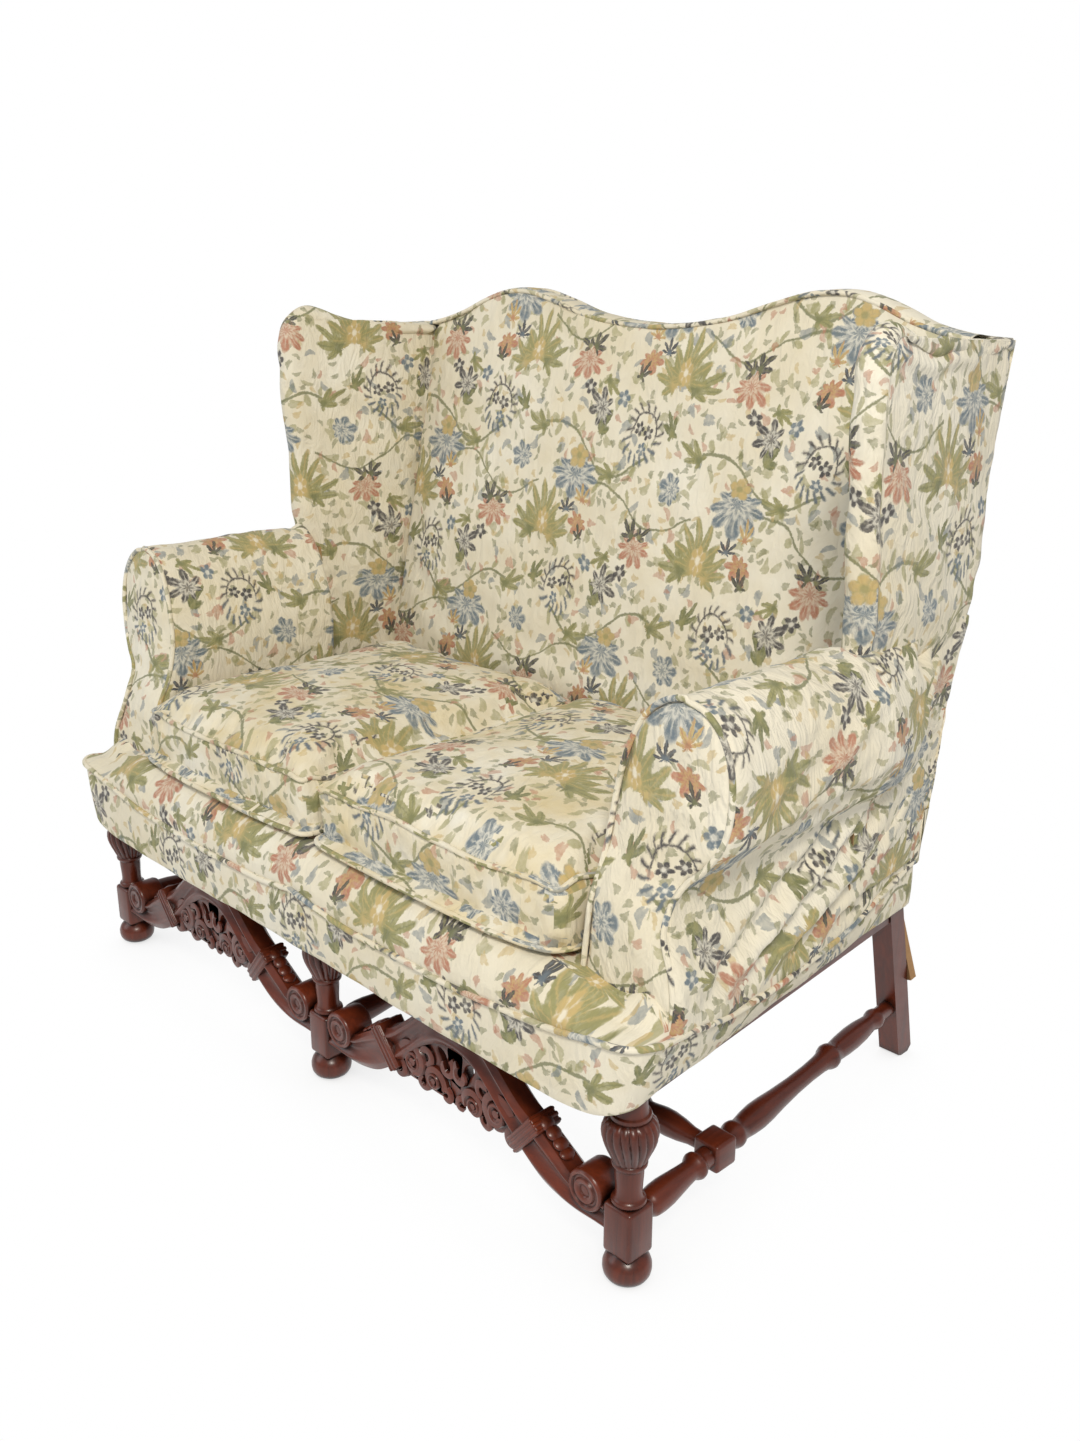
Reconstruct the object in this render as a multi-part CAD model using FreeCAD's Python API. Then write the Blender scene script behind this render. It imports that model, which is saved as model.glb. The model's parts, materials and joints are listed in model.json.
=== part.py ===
"""High back two seat settee with wings, rolled arms, turned legs and pierced stretchers.

Sizes are millimetres.  X runs along the seat, Y from front to back and Z up.  Shapes are
drawn with Y = 0 on the axes of the front legs and moved to the middle of the plan on export.
"""
import FreeCAD
import Part
import math
import os

# Overall plan, half widths led by the cover at its welt
HALF_WELT = 656.0
HEM_DRAW = 26.0
LEG_INSET = 56.0
ARM_ROOM = 156.0
DECK_GAP = 0.5
SEAT_GAP = 4.0
REAR_DRAW = 78.0
POST_COVER = 25.0
WING_DRAW = 39.0
WING_THICK = 45.0
BACK_TUCK = 24.0
HALF_HEM = HALF_WELT - HEM_DRAW
LEG_SPACING = HALF_WELT - LEG_INSET
ARM_INNER = HALF_WELT - ARM_ROOM
DECK_HALF = ARM_INNER - DECK_GAP
SEAT_X = ARM_INNER - SEAT_GAP
HALF_BACK = HALF_WELT - REAR_DRAW
BACK_X = HALF_BACK - POST_COVER
WING_OUTER = HALF_WELT - WING_DRAW
WING_INNER = WING_OUTER - WING_THICK
BACK_HALF = WING_INNER - BACK_TUCK
FAR = 1400.0

# Fits and facets
GLUE_GAP = 0.1
FLAT_TURN = 0.01
FLAT_OFF = 0.00001
TURN_SIDES = 14
CORNER_STEPS = 4
CUSHION_GAP = 0.4

# Front legs
BLOCK = 44.0
BLOCK_LOW = 38.0
BLOCK_HIGH = 107.0
BLOCK_CHAMFER = 7.0
LEG_TOP = 245.0
HEAD_TOP = 325.0
FOOT_SPIGOT = 9.0
FOOT_SPIGOT_LENGTH = 20.0
LOBES = 13
LOBE_DEPTH = 0.09
CUP_LEVELS = ((165.0, 20.5), (180.0, 25.2), (193.0, 29.8), (205.0, 32.0),
              (220.0, 30.2), (232.0, 24.8))
FOOT_PROFILE = ((0.0, 18.0), (5.0, 26.0), (13.0, 29.6), (24.0, 29.6), (32.0, 25.5),
                (38.0, 18.0))
SHAFT_PROFILE = ((107.0, 19.0), (110.5, 21.3), (114.0, 19.0), (117.0, 17.0), (132.0, 17.0),
                 (150.0, 20.2), (156.0, 20.4), (158.0, 22.9), (163.0, 22.6), (165.0, 20.5))

# Back legs, each in one piece with its post
BACK_LEG = 34.0
BACK_FOOT_Y = 666.0
BACK_KNEE = (589.0, 330.0)
BACK_TOP = (696.0, 1000.0)
BACK_MID_TOP = (691.0, 968.0)
FOOT_CUT = 8.0

# Seat rails
RAIL_LOW = 248.0
RAIL_HIGH = 325.0
RAIL_THICK = 28.0
FRONT_RAIL_Y = -18.0
BACK_RAIL_Y = 587.0
BACK_RAIL_THICK = 22.0
BLOCK_LEG = 100.0

# Turned stretchers
STRETCHER_Z = 80.0
STRETCHER_END_Z = 88.0
TENON = 9.0
TENON_LENGTH = 12.0
CROSS_Y = 177.0
CROSS_BLOCK = 40.0
SIDE_TURNING = ((0.0, 12.0), (10.0, 13.0), (32.0, 18.2), (54.0, 18.8), (96.0, 13.6),
                (102.0, 18.0), (112.0, 18.0), (117.0, 13.4), (132.0, 14.6))
SIDE_TURNING_BACK = ((176.0, 13.6), (202.0, 17.8), (218.0, 18.0), (236.0, 14.4),
                     (241.0, 18.8), (251.0, 18.8), (256.0, 13.8), (370.0, 11.8),
                     (472.0, 17.0), (485.0, 13.8), (491.0, 18.4), (501.0, 18.4),
                     (506.0, 13.4), (542.0, 15.8), (575.0, 13.6))
CROSS_TURNING = ((0.0, 12.0), (40.0, 17.2), (62.0, 17.8), (88.0, 13.8), (94.0, 18.2),
                 (104.0, 18.2), (110.0, 13.4), (200.0, 12.0))

# Pierced carved stretchers, half of each outline from the middle of the bay outwards
CARVED_PLATE = 20.0
CARVED_BAND = 31.0
CARVED_RIDGE = 38.0
CARVED_BOSS = 46.0
CARVED_TENON = (14.0, 34.0)
ARCH_TOP = ((0.0, 236.0), (34.0, 231.0), (60.0, 216.0), (92.0, 187.0), (126.0, 160.0),
            (163.0, 142.0), (196.0, 121.0), (212.0, 109.0), (232.0, 103.0))
ARCH_FOOT = ((0.0, 91.0), (11.0, 93.0), (21.0, 102.0), (37.0, 94.0), (56.0, 98.0),
             (60.0, 102.0), (66.0, 107.0), (80.0, 98.0), (97.0, 96.0), (103.0, 88.0),
             (111.0, 86.0), (119.0, 90.0), (130.0, 90.0), (162.0, 69.0), (200.0, 57.5),
             (228.0, 55.0), (256.0, 56.0))
BAND_INNER = ((0.0, 176.0), (34.0, 171.0), (62.0, 156.0), (96.0, 124.0), (130.0, 95.0),
              (163.0, 71.5), (200.0, 60.5), (228.0, 58.0), (256.0, 59.0))
RIDGE_OUTER = ((0.0, 221.0), (34.0, 215.0), (58.0, 201.0), (92.0, 170.0), (128.0, 143.0),
               (170.0, 118.0), (226.0, 93.0))
RIDGE_INNER = ((0.0, 194.0), (34.0, 188.0), (62.0, 171.0), (96.0, 139.0), (132.0, 108.0),
               (172.0, 81.0), (226.0, 70.0))
KNUCKLE = (140.0, 121.0, 22.0, 76.0, 44.0)
KNUCKLE_TURN = 40.0
BOSS = (247.0, 103.0, 27.0)
BOSS_GROOVE = (17.0, 20.5, 2.5)
BOSS_EYE = (8.0, 3.0)
PIERCINGS = ((84.0, 126.0, 13.0, 10.0, 35.0), (54.0, 138.0, 13.0, 6.0, 55.0),
             (24.0, 144.0, 17.0, 6.5, 62.0))
OVAL_SIDES = 9
LEAF_EYES = ((84.0, 126.0, 19.0, 15.0), (40.0, 108.0, 10.0, 14.0))

# Plain braces behind the back legs
BRACE = (14.0, 46.0, 178.0)
BRACE_INSET = 1.0
BRACE_LOW = 134.0
BRACE_SPLAY = 13.5
BRACE_LEAN = 7.0

# Base of the cover and the seat
HEM_Z = 234.0
HEM_SIDE = 264.0
HEM_BACK = 281.0
HEM_RISE = ((-150.0, 234.0), (-90.0, 237.0), (-30.0, 249.0), (10.0, 264.0), (70.0, 270.0))
SIDE_BAND_FRONT = 30.0
WELT_Z = 310.0
COVER = 4.0
FRONT_HEM_Y = -54.0
FRONT_WELT_Y = -52.0
BACK_HEM_Y = 624.0
BACK_WELT_Y = 627.0
FRONT_CORNER = 46.0
BACK_CORNER = 12.0
PAD_Z = 345.0
PAD_DRAW = 6.0
DECK_Z = 377.0
DECK_LIP = ((-44.0, 345.0), (-39.0, 354.0), (-27.0, 367.0), (-10.0, 377.0))
DECK_BACK = 556.0

# Cushions
SEAT_MIDDLE = 1.2
SEAT_FRONT = -34.0
SEAT_BOW = 18.0
BOW_SHARES = (0.28, 0.74)
SEAT_BACK = 545.0
CUSHION_LEVELS = ((0.0, 22.0), (12.0, 10.0), (42.0, 2.0), (80.0, 0.0), (91.0, 9.0),
                  (100.0, 62.0), (106.0, 140.0))
CUSHION_CORNER = 44.0
CUSHION_BACK_CORNER = 24.0
CORE_WALL = 14.0
CORE_TOP = 12.0

# Back
BACK_FRONT_LINE = ((556.0, 377.0), (558.0, 470.0), (622.0, 760.0), (692.0, 1060.0),
                   (707.0, 1130.0))
REAR_BASE = (622.0, 300.0)
REAR_SLOPE = 0.149
BACK_EDGE = 12.0
HUMPS = ((-1.0, 1061.0), (-0.875, 1066.0), (-0.75, 1086.0), (-0.665, 1106.0),
         (-0.495, 1124.0), (-0.344, 1111.0), (-0.26, 1097.0), (-0.178, 1082.0),
         (0.0, 1069.0))
SKIN = 4.0

# Wings
WING_OUTLINE = ((404.0, 345.0), (404.0, 699.0), (399.0, 770.0), (388.0, 840.0),
                (378.0, 925.0), (376.0, 1010.0), (387.0, 1066.0), (428.0, 1090.0),
                (455.0, 1084.0), (482.0, 1073.0), (530.0, 1062.0), (600.0, 1060.0),
                (760.0, 1062.0))
WING_BACK_LOW = 345.0

# Arms
ARM_BACK = 403.0
ARM_LOW = 345.0
ARM_FRONT_LINE = ((20.0, 345.0), (27.0, 400.0), (36.0, 455.0), (57.0, 500.0), (68.0, 540.0),
                  (76.0, 620.0), (82.0, 720.0))
ARM_SECTION = (("line", (0.0, 345.0)), ("line", (0.0, 520.0)),
               ("arc", (6.0, 566.0), (16.0, 606.0)),
               ("arc", (44.0, 678.0), (97.0, 703.0)),
               ("arc", (150.0, 677.0), (170.0, 612.0)),
               ("arc", (164.0, 555.0), (140.0, 517.0)),
               ("arc", (124.0, 503.0), (112.0, 484.0)),
               ("line", (112.0, 440.0)), ("line", (131.0, 390.0)),
               ("line", (154.0, 345.0)))
SIDE_SECTION_FRONT = ((0.5, 345.0), (34.0, 345.0), (15.0, 392.0), (2.0, 440.0),
                      (2.0, 490.0), (23.0, 520.0), (38.0, 610.0), (23.0, 668.0),
                      (0.5, 694.0))
SIDE_SECTION_BACK = ((14.0, 345.0), (22.0, 345.0), (19.0, 392.0), (17.0, 440.0),
                     (16.0, 490.0), (18.0, 520.0), (20.0, 610.0), (17.0, 668.0),
                     (14.0, 694.0))

# Hidden frame and webbing
BOARD = 22.0
ARM_BOARD_Y = 90.0
ARM_BOARD_WIDE = (14.0, 104.0)
ARM_SCROLL = (93.0, 612.0, 62.0)
ARM_FOOT_X = 60.0
ARM_RAIL = (56.0, 100.0, 640.0, 668.0)
WING_POST_COVER = 10.0
WING_POST_Y = (412.0, 442.0)
WING_POST_TOP = 1040.0
WING_RAIL = (1018.0, 1040.0)
TOP_RAIL_LOW = 1000.0
TOP_RAIL_INSET = 16.0
TOP_RAIL_END = 1046.0
LOW_RAIL = (430.0, 486.0)
WEB = (50.0, 2.0)
WEB_EDGE = 100.0
WEB_COUNT = 5
BACK_WEB_EDGE = 93.0
BACK_WEB_START = 100.0
BACK_WEB_COUNT = 4
CANVAS = 1.5
SCREW = (3.0, 60.0)
SCREW_SIDES = 8


def vec(x, y, z):
    """Return a FreeCAD vector."""
    return FreeCAD.Vector(x, y, z)


def box(x0, x1, y0, y1, z0, z1):
    """Return a box between two corners."""
    return Part.makeBox(x1 - x0, y1 - y0, z1 - z0, vec(x0, y0, z0))


def place(plane, a, b, depth):
    """Put the flat point (a, b) on an XY, XZ or YZ plane at the given depth."""
    if plane == "xy":
        return vec(a, b, depth)
    if plane == "xz":
        return vec(a, depth, b)
    return vec(depth, a, b)


def along(plane, length):
    """Return the vector that carries a profile off its plane."""
    return {"xy": vec(0, 0, length), "xz": vec(0, length, 0), "yz": vec(length, 0, 0)}[plane]


def polygon(points, plane, low, high):
    """Return a prism over a straight sided outline."""
    ring = [place(plane, a, b, low) for a, b in points]
    face = Part.Face(Part.makePolygon(ring + ring[:1]))
    return face.extrude(along(plane, high - low))


def curved_run(points, plane, depth):
    """Return edges through flat points, an arc over each three that bend."""
    edges = []
    for i in range(0, len(points) - 2, 2):
        a, m, b = [place(plane, p[0], p[1], depth) for p in points[i:i + 3]]
        if (m - a).cross(b - m).Length > FLAT_TURN * (m - a).Length * (b - m).Length:
            edges.append(Part.Arc(a, m, b).toShape())
        else:
            edges.append(Part.makeLine(a, b))
    return edges


def closed_outline(parts, plane, low, high):
    """Return a prism over smooth runs of points joined by straight lines."""
    edges = []
    for i, run in enumerate(parts):
        if len(run) > 2:
            edges += curved_run(run, plane, low)
        else:
            edges.append(Part.makeLine(place(plane, *run[0], low), place(plane, *run[1], low)))
        tail = run[-1]
        head = parts[(i + 1) % len(parts)][0]
        if tail != head:
            edges.append(Part.makeLine(place(plane, *tail, low), place(plane, *head, low)))
    return Part.Face(Part.Wire(edges)).extrude(along(plane, high - low))


def faceted(rings):
    """Return a solid through rings of points, flat faced and closed at both ends."""
    faces = [Part.Face(Part.makePolygon(ring + ring[:1])) for ring in (rings[0], rings[-1])]
    for low, high in zip(rings, rings[1:]):
        for i in range(len(low)):
            j = (i + 1) % len(low)
            a, b, c, d = low[i], low[j], high[j], high[i]
            off = abs((b - a).cross(d - a).normalize().dot(c - a))
            if off < FLAT_OFF:
                faces.append(Part.Face(Part.makePolygon([a, b, c, d, a])))
            else:
                faces.append(Part.Face(Part.makePolygon([a, b, c, a])))
                faces.append(Part.Face(Part.makePolygon([a, c, d, a])))
    solid = Part.Solid(Part.makeShell(faces))
    if solid.Volume < 0:
        solid.reverse()
    return solid


def ring(radius, run, sides):
    """Return the corners of a regular polygon about the Z axis."""
    step = 2 * math.pi / sides
    return [vec(radius * math.cos((i + 0.5) * step), radius * math.sin((i + 0.5) * step), run)
            for i in range(sides)]


def turned(profile, base, direction):
    """Return a turned solid through (distance, radius) points along a line from base."""
    solid = faceted([ring(radius, run, TURN_SIDES) for run, radius in profile])
    solid.Placement = FreeCAD.Placement(base, FreeCAD.Rotation(vec(0, 0, 1), direction))
    return solid


def peg(radius, length, base, direction):
    """Return a round peg or the tool for its hole."""
    return turned(((0.0, radius), (length, radius)), base, direction)


def mirrored(shape):
    """Return the shape's mirror image across the middle of the seat."""
    return shape.mirror(vec(0, 0, 0), vec(1, 0, 0))


def join(shapes):
    """Fuse shapes into one solid and drop the seams."""
    solid = shapes[0].fuse(shapes[1:])
    return solid.removeSplitter()


def rear(z):
    """Return the Y of the settee's rear face at a height."""
    return REAR_BASE[0] + REAR_SLOPE * (z - REAR_BASE[1])


def back_centre(z):
    """Return the Y of a back leg's axis at a height."""
    if z < BACK_KNEE[1]:
        return BACK_FOOT_Y + (BACK_KNEE[0] - BACK_FOOT_Y) * z / BACK_KNEE[1]
    share = (z - BACK_KNEE[1]) / (BACK_TOP[1] - BACK_KNEE[1])
    return BACK_KNEE[0] + (BACK_TOP[0] - BACK_KNEE[0]) * share


def back_leg(x, top):
    """Return a raked back leg that carries on up as a post."""
    half = BACK_LEG / 2
    points = [(BACK_FOOT_Y - half, FOOT_CUT * 0.4), (BACK_FOOT_Y - half + FOOT_CUT, 0.0),
              (BACK_FOOT_Y + half - FOOT_CUT, 0.0), (BACK_FOOT_Y + half, FOOT_CUT),
              (BACK_KNEE[0] + half, BACK_KNEE[1]), (top[0] + half, top[1]),
              (top[0] - half, top[1]), (BACK_KNEE[0] - half, BACK_KNEE[1])]
    return polygon(points, "yz", x - half, x + half)


def scalloped(z, radius):
    """Return a lobed ring for the gadrooned cup at one height."""
    marks = []
    step = math.pi / LOBES
    for i in range(2 * LOBES):
        size = radius if i % 2 else radius * (1 - LOBE_DEPTH)
        marks.append(vec(size * math.cos(i * step), size * math.sin(i * step), z))
    return marks


def front_leg(x):
    """Return a turned front leg with its stretcher block, gadrooned cup and square head."""
    half = BLOCK / 2
    block = box(-half, half, -half, half, BLOCK_LOW, BLOCK_HIGH)
    block = block.makeChamfer(BLOCK_CHAMFER, [e for e in block.Edges
                                              if e.BoundBox.ZMax < BLOCK_LOW + 0.1])
    head = box(-half, half, -half, half, LEG_TOP, HEAD_TOP)
    shaft = turned(SHAFT_PROFILE, vec(0, 0, 0), vec(0, 0, 1))
    cup = faceted([scalloped(z, r) for z, r in CUP_LEVELS])
    top_z, top_r = CUP_LEVELS[-1]
    neck = peg(top_r * (1 - LOBE_DEPTH), LEG_TOP - top_z, vec(0, 0, top_z), vec(0, 0, 1))
    leg = join([block, shaft, cup, neck, head])
    spigot = peg(FOOT_SPIGOT + GLUE_GAP, FOOT_SPIGOT_LENGTH + GLUE_GAP, vec(0, 0, BLOCK_LOW),
                 vec(0, 0, 1))
    leg = leg.cut(spigot)
    leg.translate(vec(x, 0, 0))
    return leg


def bun_foot(x):
    """Return a bun foot with the dowel that holds it in the leg."""
    bun = turned(FOOT_PROFILE, vec(0, 0, 0), vec(0, 0, 1))
    dowel = peg(FOOT_SPIGOT, FOOT_SPIGOT_LENGTH, vec(0, 0, BLOCK_LOW), vec(0, 0, 1))
    foot = join([bun, dowel])
    foot.translate(vec(x, 0, 0))
    return foot


def stretcher_line(x_front, x_back):
    """Return the start, end and direction of a front to back stretcher."""
    start = vec(x_front, BLOCK / 2, STRETCHER_Z)
    face = back_centre(STRETCHER_END_Z) - BACK_LEG / 2
    end = vec(x_back, face, STRETCHER_END_Z)
    return start, end, (end - start).normalize()


def side_stretcher(x_front, x_back):
    """Return a turned front to back stretcher with a square block for the cross piece."""
    start, end, way = stretcher_line(x_front, x_back)
    length = (end - start).Length
    front = turned(SIDE_TURNING, start, way)
    scale = (length - SIDE_TURNING_BACK[0][0]) / (SIDE_TURNING_BACK[-1][0]
                                                  - SIDE_TURNING_BACK[0][0])
    stretched = [(SIDE_TURNING_BACK[0][0] + (s - SIDE_TURNING_BACK[0][0]) * scale, r)
                 for s, r in SIDE_TURNING_BACK]
    rear_part = turned(stretched, start, way)
    middle = start + way * ((CROSS_Y - start.y) / way.y)
    half = CROSS_BLOCK / 2
    block = box(middle.x - half, middle.x + half, CROSS_Y - half - 3, CROSS_Y + half + 3,
                middle.z - half, middle.z + half)
    block = block.makeChamfer(3.0, block.Edges)
    dowel = peg(TENON, length + 2 * TENON_LENGTH, start - way * TENON_LENGTH, way)
    hole_length = TENON_LENGTH + GLUE_GAP
    solid = join([front, rear_part, block, dowel])
    for side in (-1, 1):
        mouth = vec(middle.x + side * half, CROSS_Y, middle.z)
        solid = solid.cut(peg(TENON + GLUE_GAP, hole_length, mouth, vec(-side, 0, 0)))
    return solid, middle


def cross_stretcher(left, right):
    """Return the long turned stretcher between two side stretcher blocks."""
    half = CROSS_BLOCK / 2
    start = vec(left.x + half, CROSS_Y, left.z)
    end = vec(right.x - half, CROSS_Y, right.z)
    length = (end - start).Length
    way = (end - start).normalize()
    centre = length / 2
    far = [(length - s, r) for s, r in reversed(CROSS_TURNING)]
    near = list(CROSS_TURNING) + [(centre, CROSS_TURNING[-1][1] - 0.4)] + far
    solid = turned(near, start, way)
    dowel = peg(TENON, length + 2 * TENON_LENGTH, start - way * TENON_LENGTH, way)
    return join([solid, dowel])


def both_ways(points):
    """Return a half outline carried across to the other side."""
    left = [(-u, z) for u, z in reversed(points)]
    return left + [p for p in points if p[0] > 0]


def moulding(upper, lower, thickness):
    """Return one relief layer of the carved arch between two half outlines."""
    top = both_ways(upper)
    foot = list(reversed(both_ways(lower)))
    return closed_outline([top, foot], "xz", -thickness / 2, thickness / 2)


def oval(u, z, long_half, short_half, turn, thickness):
    """Return an oval plug that pierces the carving."""
    lean = math.radians(turn)
    marks = []
    for i in range(OVAL_SIDES):
        angle = 2 * math.pi * i / OVAL_SIDES
        a = long_half * math.cos(angle)
        b = short_half * math.sin(angle)
        marks.append((u + a * math.cos(lean) - b * math.sin(lean),
                      z + a * math.sin(lean) + b * math.cos(lean)))
    return polygon(marks, "xz", -thickness / 2, thickness / 2)


def boss(radius, depth, u, z, front, sides):
    """Return a round boss or hollow that runs back from a front plane."""
    marks = [(u + p.x, z + p.y) for p in ring(radius, 0.0, sides)]
    return polygon(marks, "xz", front, front + depth)


def carved_stretcher(centre):
    """Return a pierced arched front stretcher with scroll ends, knuckles and leaf eyes."""
    layers = [moulding(ARCH_TOP, ARCH_FOOT, CARVED_PLATE),
              moulding(ARCH_TOP, BAND_INNER, CARVED_BAND),
              moulding(RIDGE_OUTER, RIDGE_INNER, CARVED_RIDGE)]
    holes = []
    end = LEG_SPACING / 2 - BLOCK / 2
    for side in (-1, 1):
        u, z, width, height, thick = KNUCKLE
        knuckle = box(-width / 2, width / 2, -thick / 2, thick / 2, -height / 2, height / 2)
        knuckle = knuckle.makeChamfer(4.0, knuckle.Edges)
        knuckle.rotate(vec(0, 0, 0), vec(0, 1, 0), side * KNUCKLE_TURN)
        knuckle.translate(vec(side * u, 0, z))
        layers.append(knuckle)
        for eye_u, eye_z, radius, deep in LEAF_EYES:
            layers.append(boss(radius, deep, side * eye_u, eye_z, -deep, OVAL_SIDES))
        for hole_u, hole_z, long_half, short_half, turn in PIERCINGS:
            lean = turn if side > 0 else 180 - turn
            holes.append(oval(side * hole_u, hole_z, long_half, short_half, lean, 60.0))
        u, z, radius = BOSS
        layers.append(boss(radius, CARVED_BOSS, side * u, z, -CARVED_BOSS / 2, TURN_SIDES))
        inner, outer, deep = BOSS_GROOVE
        rim = boss(outer, deep, side * u, z, -CARVED_BOSS / 2, TURN_SIDES)
        core = boss(inner, deep, side * u, z, -CARVED_BOSS / 2, TURN_SIDES)
        holes.append(rim.cut(core))
        holes.append(boss(BOSS_EYE[0], BOSS_EYE[1], side * u, z, -CARVED_BOSS / 2, OVAL_SIDES))
        thick, tall = CARVED_TENON
        near = side * (end - 30)
        tip = side * (end + TENON_LENGTH)
        layers.append(box(min(near, tip), max(near, tip), -thick / 2, thick / 2,
                          BOSS[1] - 36, BOSS[1] - 36 + tall))
    carving = join(layers)
    carving = carving.cut(Part.makeCompound(holes))
    gap = box(end, end + 60, -50, 50, 0, 300)
    keep = box(end - 1, end + 60, -thick / 2, thick / 2, BOSS[1] - 36, BOSS[1] - 36 + tall)
    trim = gap.cut(keep)
    carving = carving.cut([trim, mirrored(trim)])
    solid = max(carving.Solids, key=lambda s: s.Volume)
    solid.translate(vec(centre, 0, 0))
    return solid


def carved_mortise(centre):
    """Return the pockets that both tenons of a carved stretcher need."""
    thick, tall = CARVED_TENON
    end = LEG_SPACING / 2 - BLOCK / 2
    low = BOSS[1] - 36
    pockets = []
    for side in (-1, 1):
        near = centre + side * (end - 5)
        tip = centre + side * (end + TENON_LENGTH + GLUE_GAP)
        pockets.append(box(min(near, tip), max(near, tip), -thick / 2 - GLUE_GAP,
                           thick / 2 + GLUE_GAP, low - GLUE_GAP, low + tall + GLUE_GAP))
    return pockets


def rounded_ring(points, radii, z):
    """Return the corners of a flat outline whose corners are rounded in short steps."""
    marks = []
    count = len(points)
    for i in range(count):
        here = vec(points[i][0], points[i][1], z)
        before = vec(points[i - 1][0], points[i - 1][1], z)
        after = vec(points[(i + 1) % count][0], points[(i + 1) % count][1], z)
        into = (before - here).normalize()
        out = (after - here).normalize()
        half = into.getAngle(out) / 2
        centre = here + (into + out).normalize() * (radii[i] / math.sin(half))
        sweep = math.pi - 2 * half
        first = here + into * (radii[i] / math.tan(half)) - centre
        for step in range(CORNER_STEPS + 1):
            turn = FreeCAD.Rotation(vec(0, 0, 1), math.degrees(sweep * step / CORNER_STEPS))
            marks.append(centre + turn.multVec(first))
    return marks


def base_ring(z, inset):
    """Return the plan outline of the seat cover at a height."""
    share = min((z - HEM_Z) / (WELT_Z - HEM_Z), 1.0)
    half = HALF_HEM + (HALF_WELT - HALF_HEM) * share - inset
    front = FRONT_HEM_Y + (FRONT_WELT_Y - FRONT_HEM_Y) * share + inset
    back_y = BACK_HEM_Y + (BACK_WELT_Y - BACK_HEM_Y) * share - inset
    tail = HALF_BACK - inset
    points = [(-half, front), (half, front), (tail, back_y), (-tail, back_y)]
    front_r = FRONT_CORNER - inset
    back_r = max(BACK_CORNER - inset, 3.0)
    return rounded_ring(points, [front_r, front_r, back_r, back_r], z)


def base_solid(low, high, inset):
    """Return a slab of the seat's plan between two heights."""
    return faceted([base_ring(low, inset), base_ring(high, inset)])


def cover_bands():
    """Return the four hanging bands of the loose cover, open underneath."""
    shell = base_solid(HEM_Z, WELT_Z, 0.0).cut(base_solid(HEM_Z, WELT_Z, COVER))
    rise = [(HALF_HEM + off, z) for off, z in HEM_RISE]
    run = [(-x, z) for x, z in reversed(rise)] + [(0.0, HEM_Z)] + rise
    lift = closed_outline([((run[0][0], 0.0), run[0]), tuple(run), (run[-1], (run[-1][0], 0.0))],
                          "xz", -FAR, SIDE_BAND_FRONT + GLUE_GAP)
    past = BACK_WELT_Y + BACK_CORNER
    sides = polygon([(SIDE_BAND_FRONT, 0.0), (SIDE_BAND_FRONT, HEM_SIDE), (past, HEM_BACK),
                     (past, 0.0)], "yz", -FAR, FAR)
    shell = shell.cut([lift, sides])
    corner = HALF_HEM - FRONT_CORNER + GLUE_GAP
    seam = BACK_X + BACK_LEG / 2 - 2 * SKIN
    front = shell.common(box(-corner, corner, -FAR, 0.0, 0.0, FAR))
    tail = shell.common(box(-seam, seam, BACK_RAIL_Y, FAR, 0.0, FAR))
    rest = shell.cut([front, tail])
    bands = {"cover_band_front": front, "cover_band_back": tail}
    for side, name in ((-1, "cover_band_left"), (1, "cover_band_right")):
        x0, x1 = sorted((0.0, side * FAR))
        bands[name] = rest.common(box(x0, x1, -FAR, FAR, 0.0, FAR))
    return bands


def wing(outline):
    """Return a padded wing slab cut to the tapering plan of the settee."""
    front = list(outline)
    top = front[-1][1]
    tail = [(rear(top) - SKIN, top), (rear(WING_BACK_LOW) - SKIN, WING_BACK_LOW)]
    parts = [(front[0], front[1]), tuple(front[1:12]), (front[11], tail[0]),
             (tail[0], tail[1]), (tail[1], front[0])]
    solid = closed_outline(parts, "yz", 0.0, FAR)
    near = min(y for y, z in outline) - 4 * SKIN
    far = rear(top)
    fold = BACK_FRONT_LINE[1][0]
    plan = polygon([(WING_INNER, near), (WING_OUTER + SKIN, near), (HALF_BACK + SKIN, far - 20),
                    (HALF_BACK, far), (BACK_HALF, far), (BACK_HALF, fold)], "xy", 0.0, FAR)
    return solid.common(plan)


def section_wire(steps, y):
    """Return the arm's section in a cross plane, built from lines and arcs."""
    edges = []
    last = None
    first = None
    for step in steps:
        spots = [vec(ARM_INNER + a, y, b) for a, b in step[1:]]
        if last is None:
            first = spots[-1]
        elif step[0] == "line":
            edges.append(Part.makeLine(last, spots[0]))
        else:
            edges.append(Part.Arc(last, spots[0], spots[1]).toShape())
        last = spots[-1]
    edges.append(Part.makeLine(last, first))
    return Part.Wire(edges)


def arm():
    """Return the padded scroll arm, its front panel sweeping forward to the seat corner."""
    body = Part.Face(section_wire(ARM_SECTION, 0.0)).extrude(vec(0, ARM_BACK, 0))
    back = [(ARM_BACK, ARM_FRONT_LINE[-1][1]), (ARM_BACK, ARM_LOW)]
    return body.common(polygon(list(ARM_FRONT_LINE) + back, "yz", 0.0, FAR))


def side_padding():
    """Return the padding that fills the outer side behind the arm, under the wing."""
    rings = []
    for section, start, y in ((SIDE_SECTION_FRONT, WING_OUTER, ARM_BACK + DECK_GAP),
                              (SIDE_SECTION_BACK, HALF_BACK, BACK_HEM_Y + 2 * SKIN)):
        rings.append([vec(start + a, y, b) for a, b in section])
    return faceted(rings)


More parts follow.
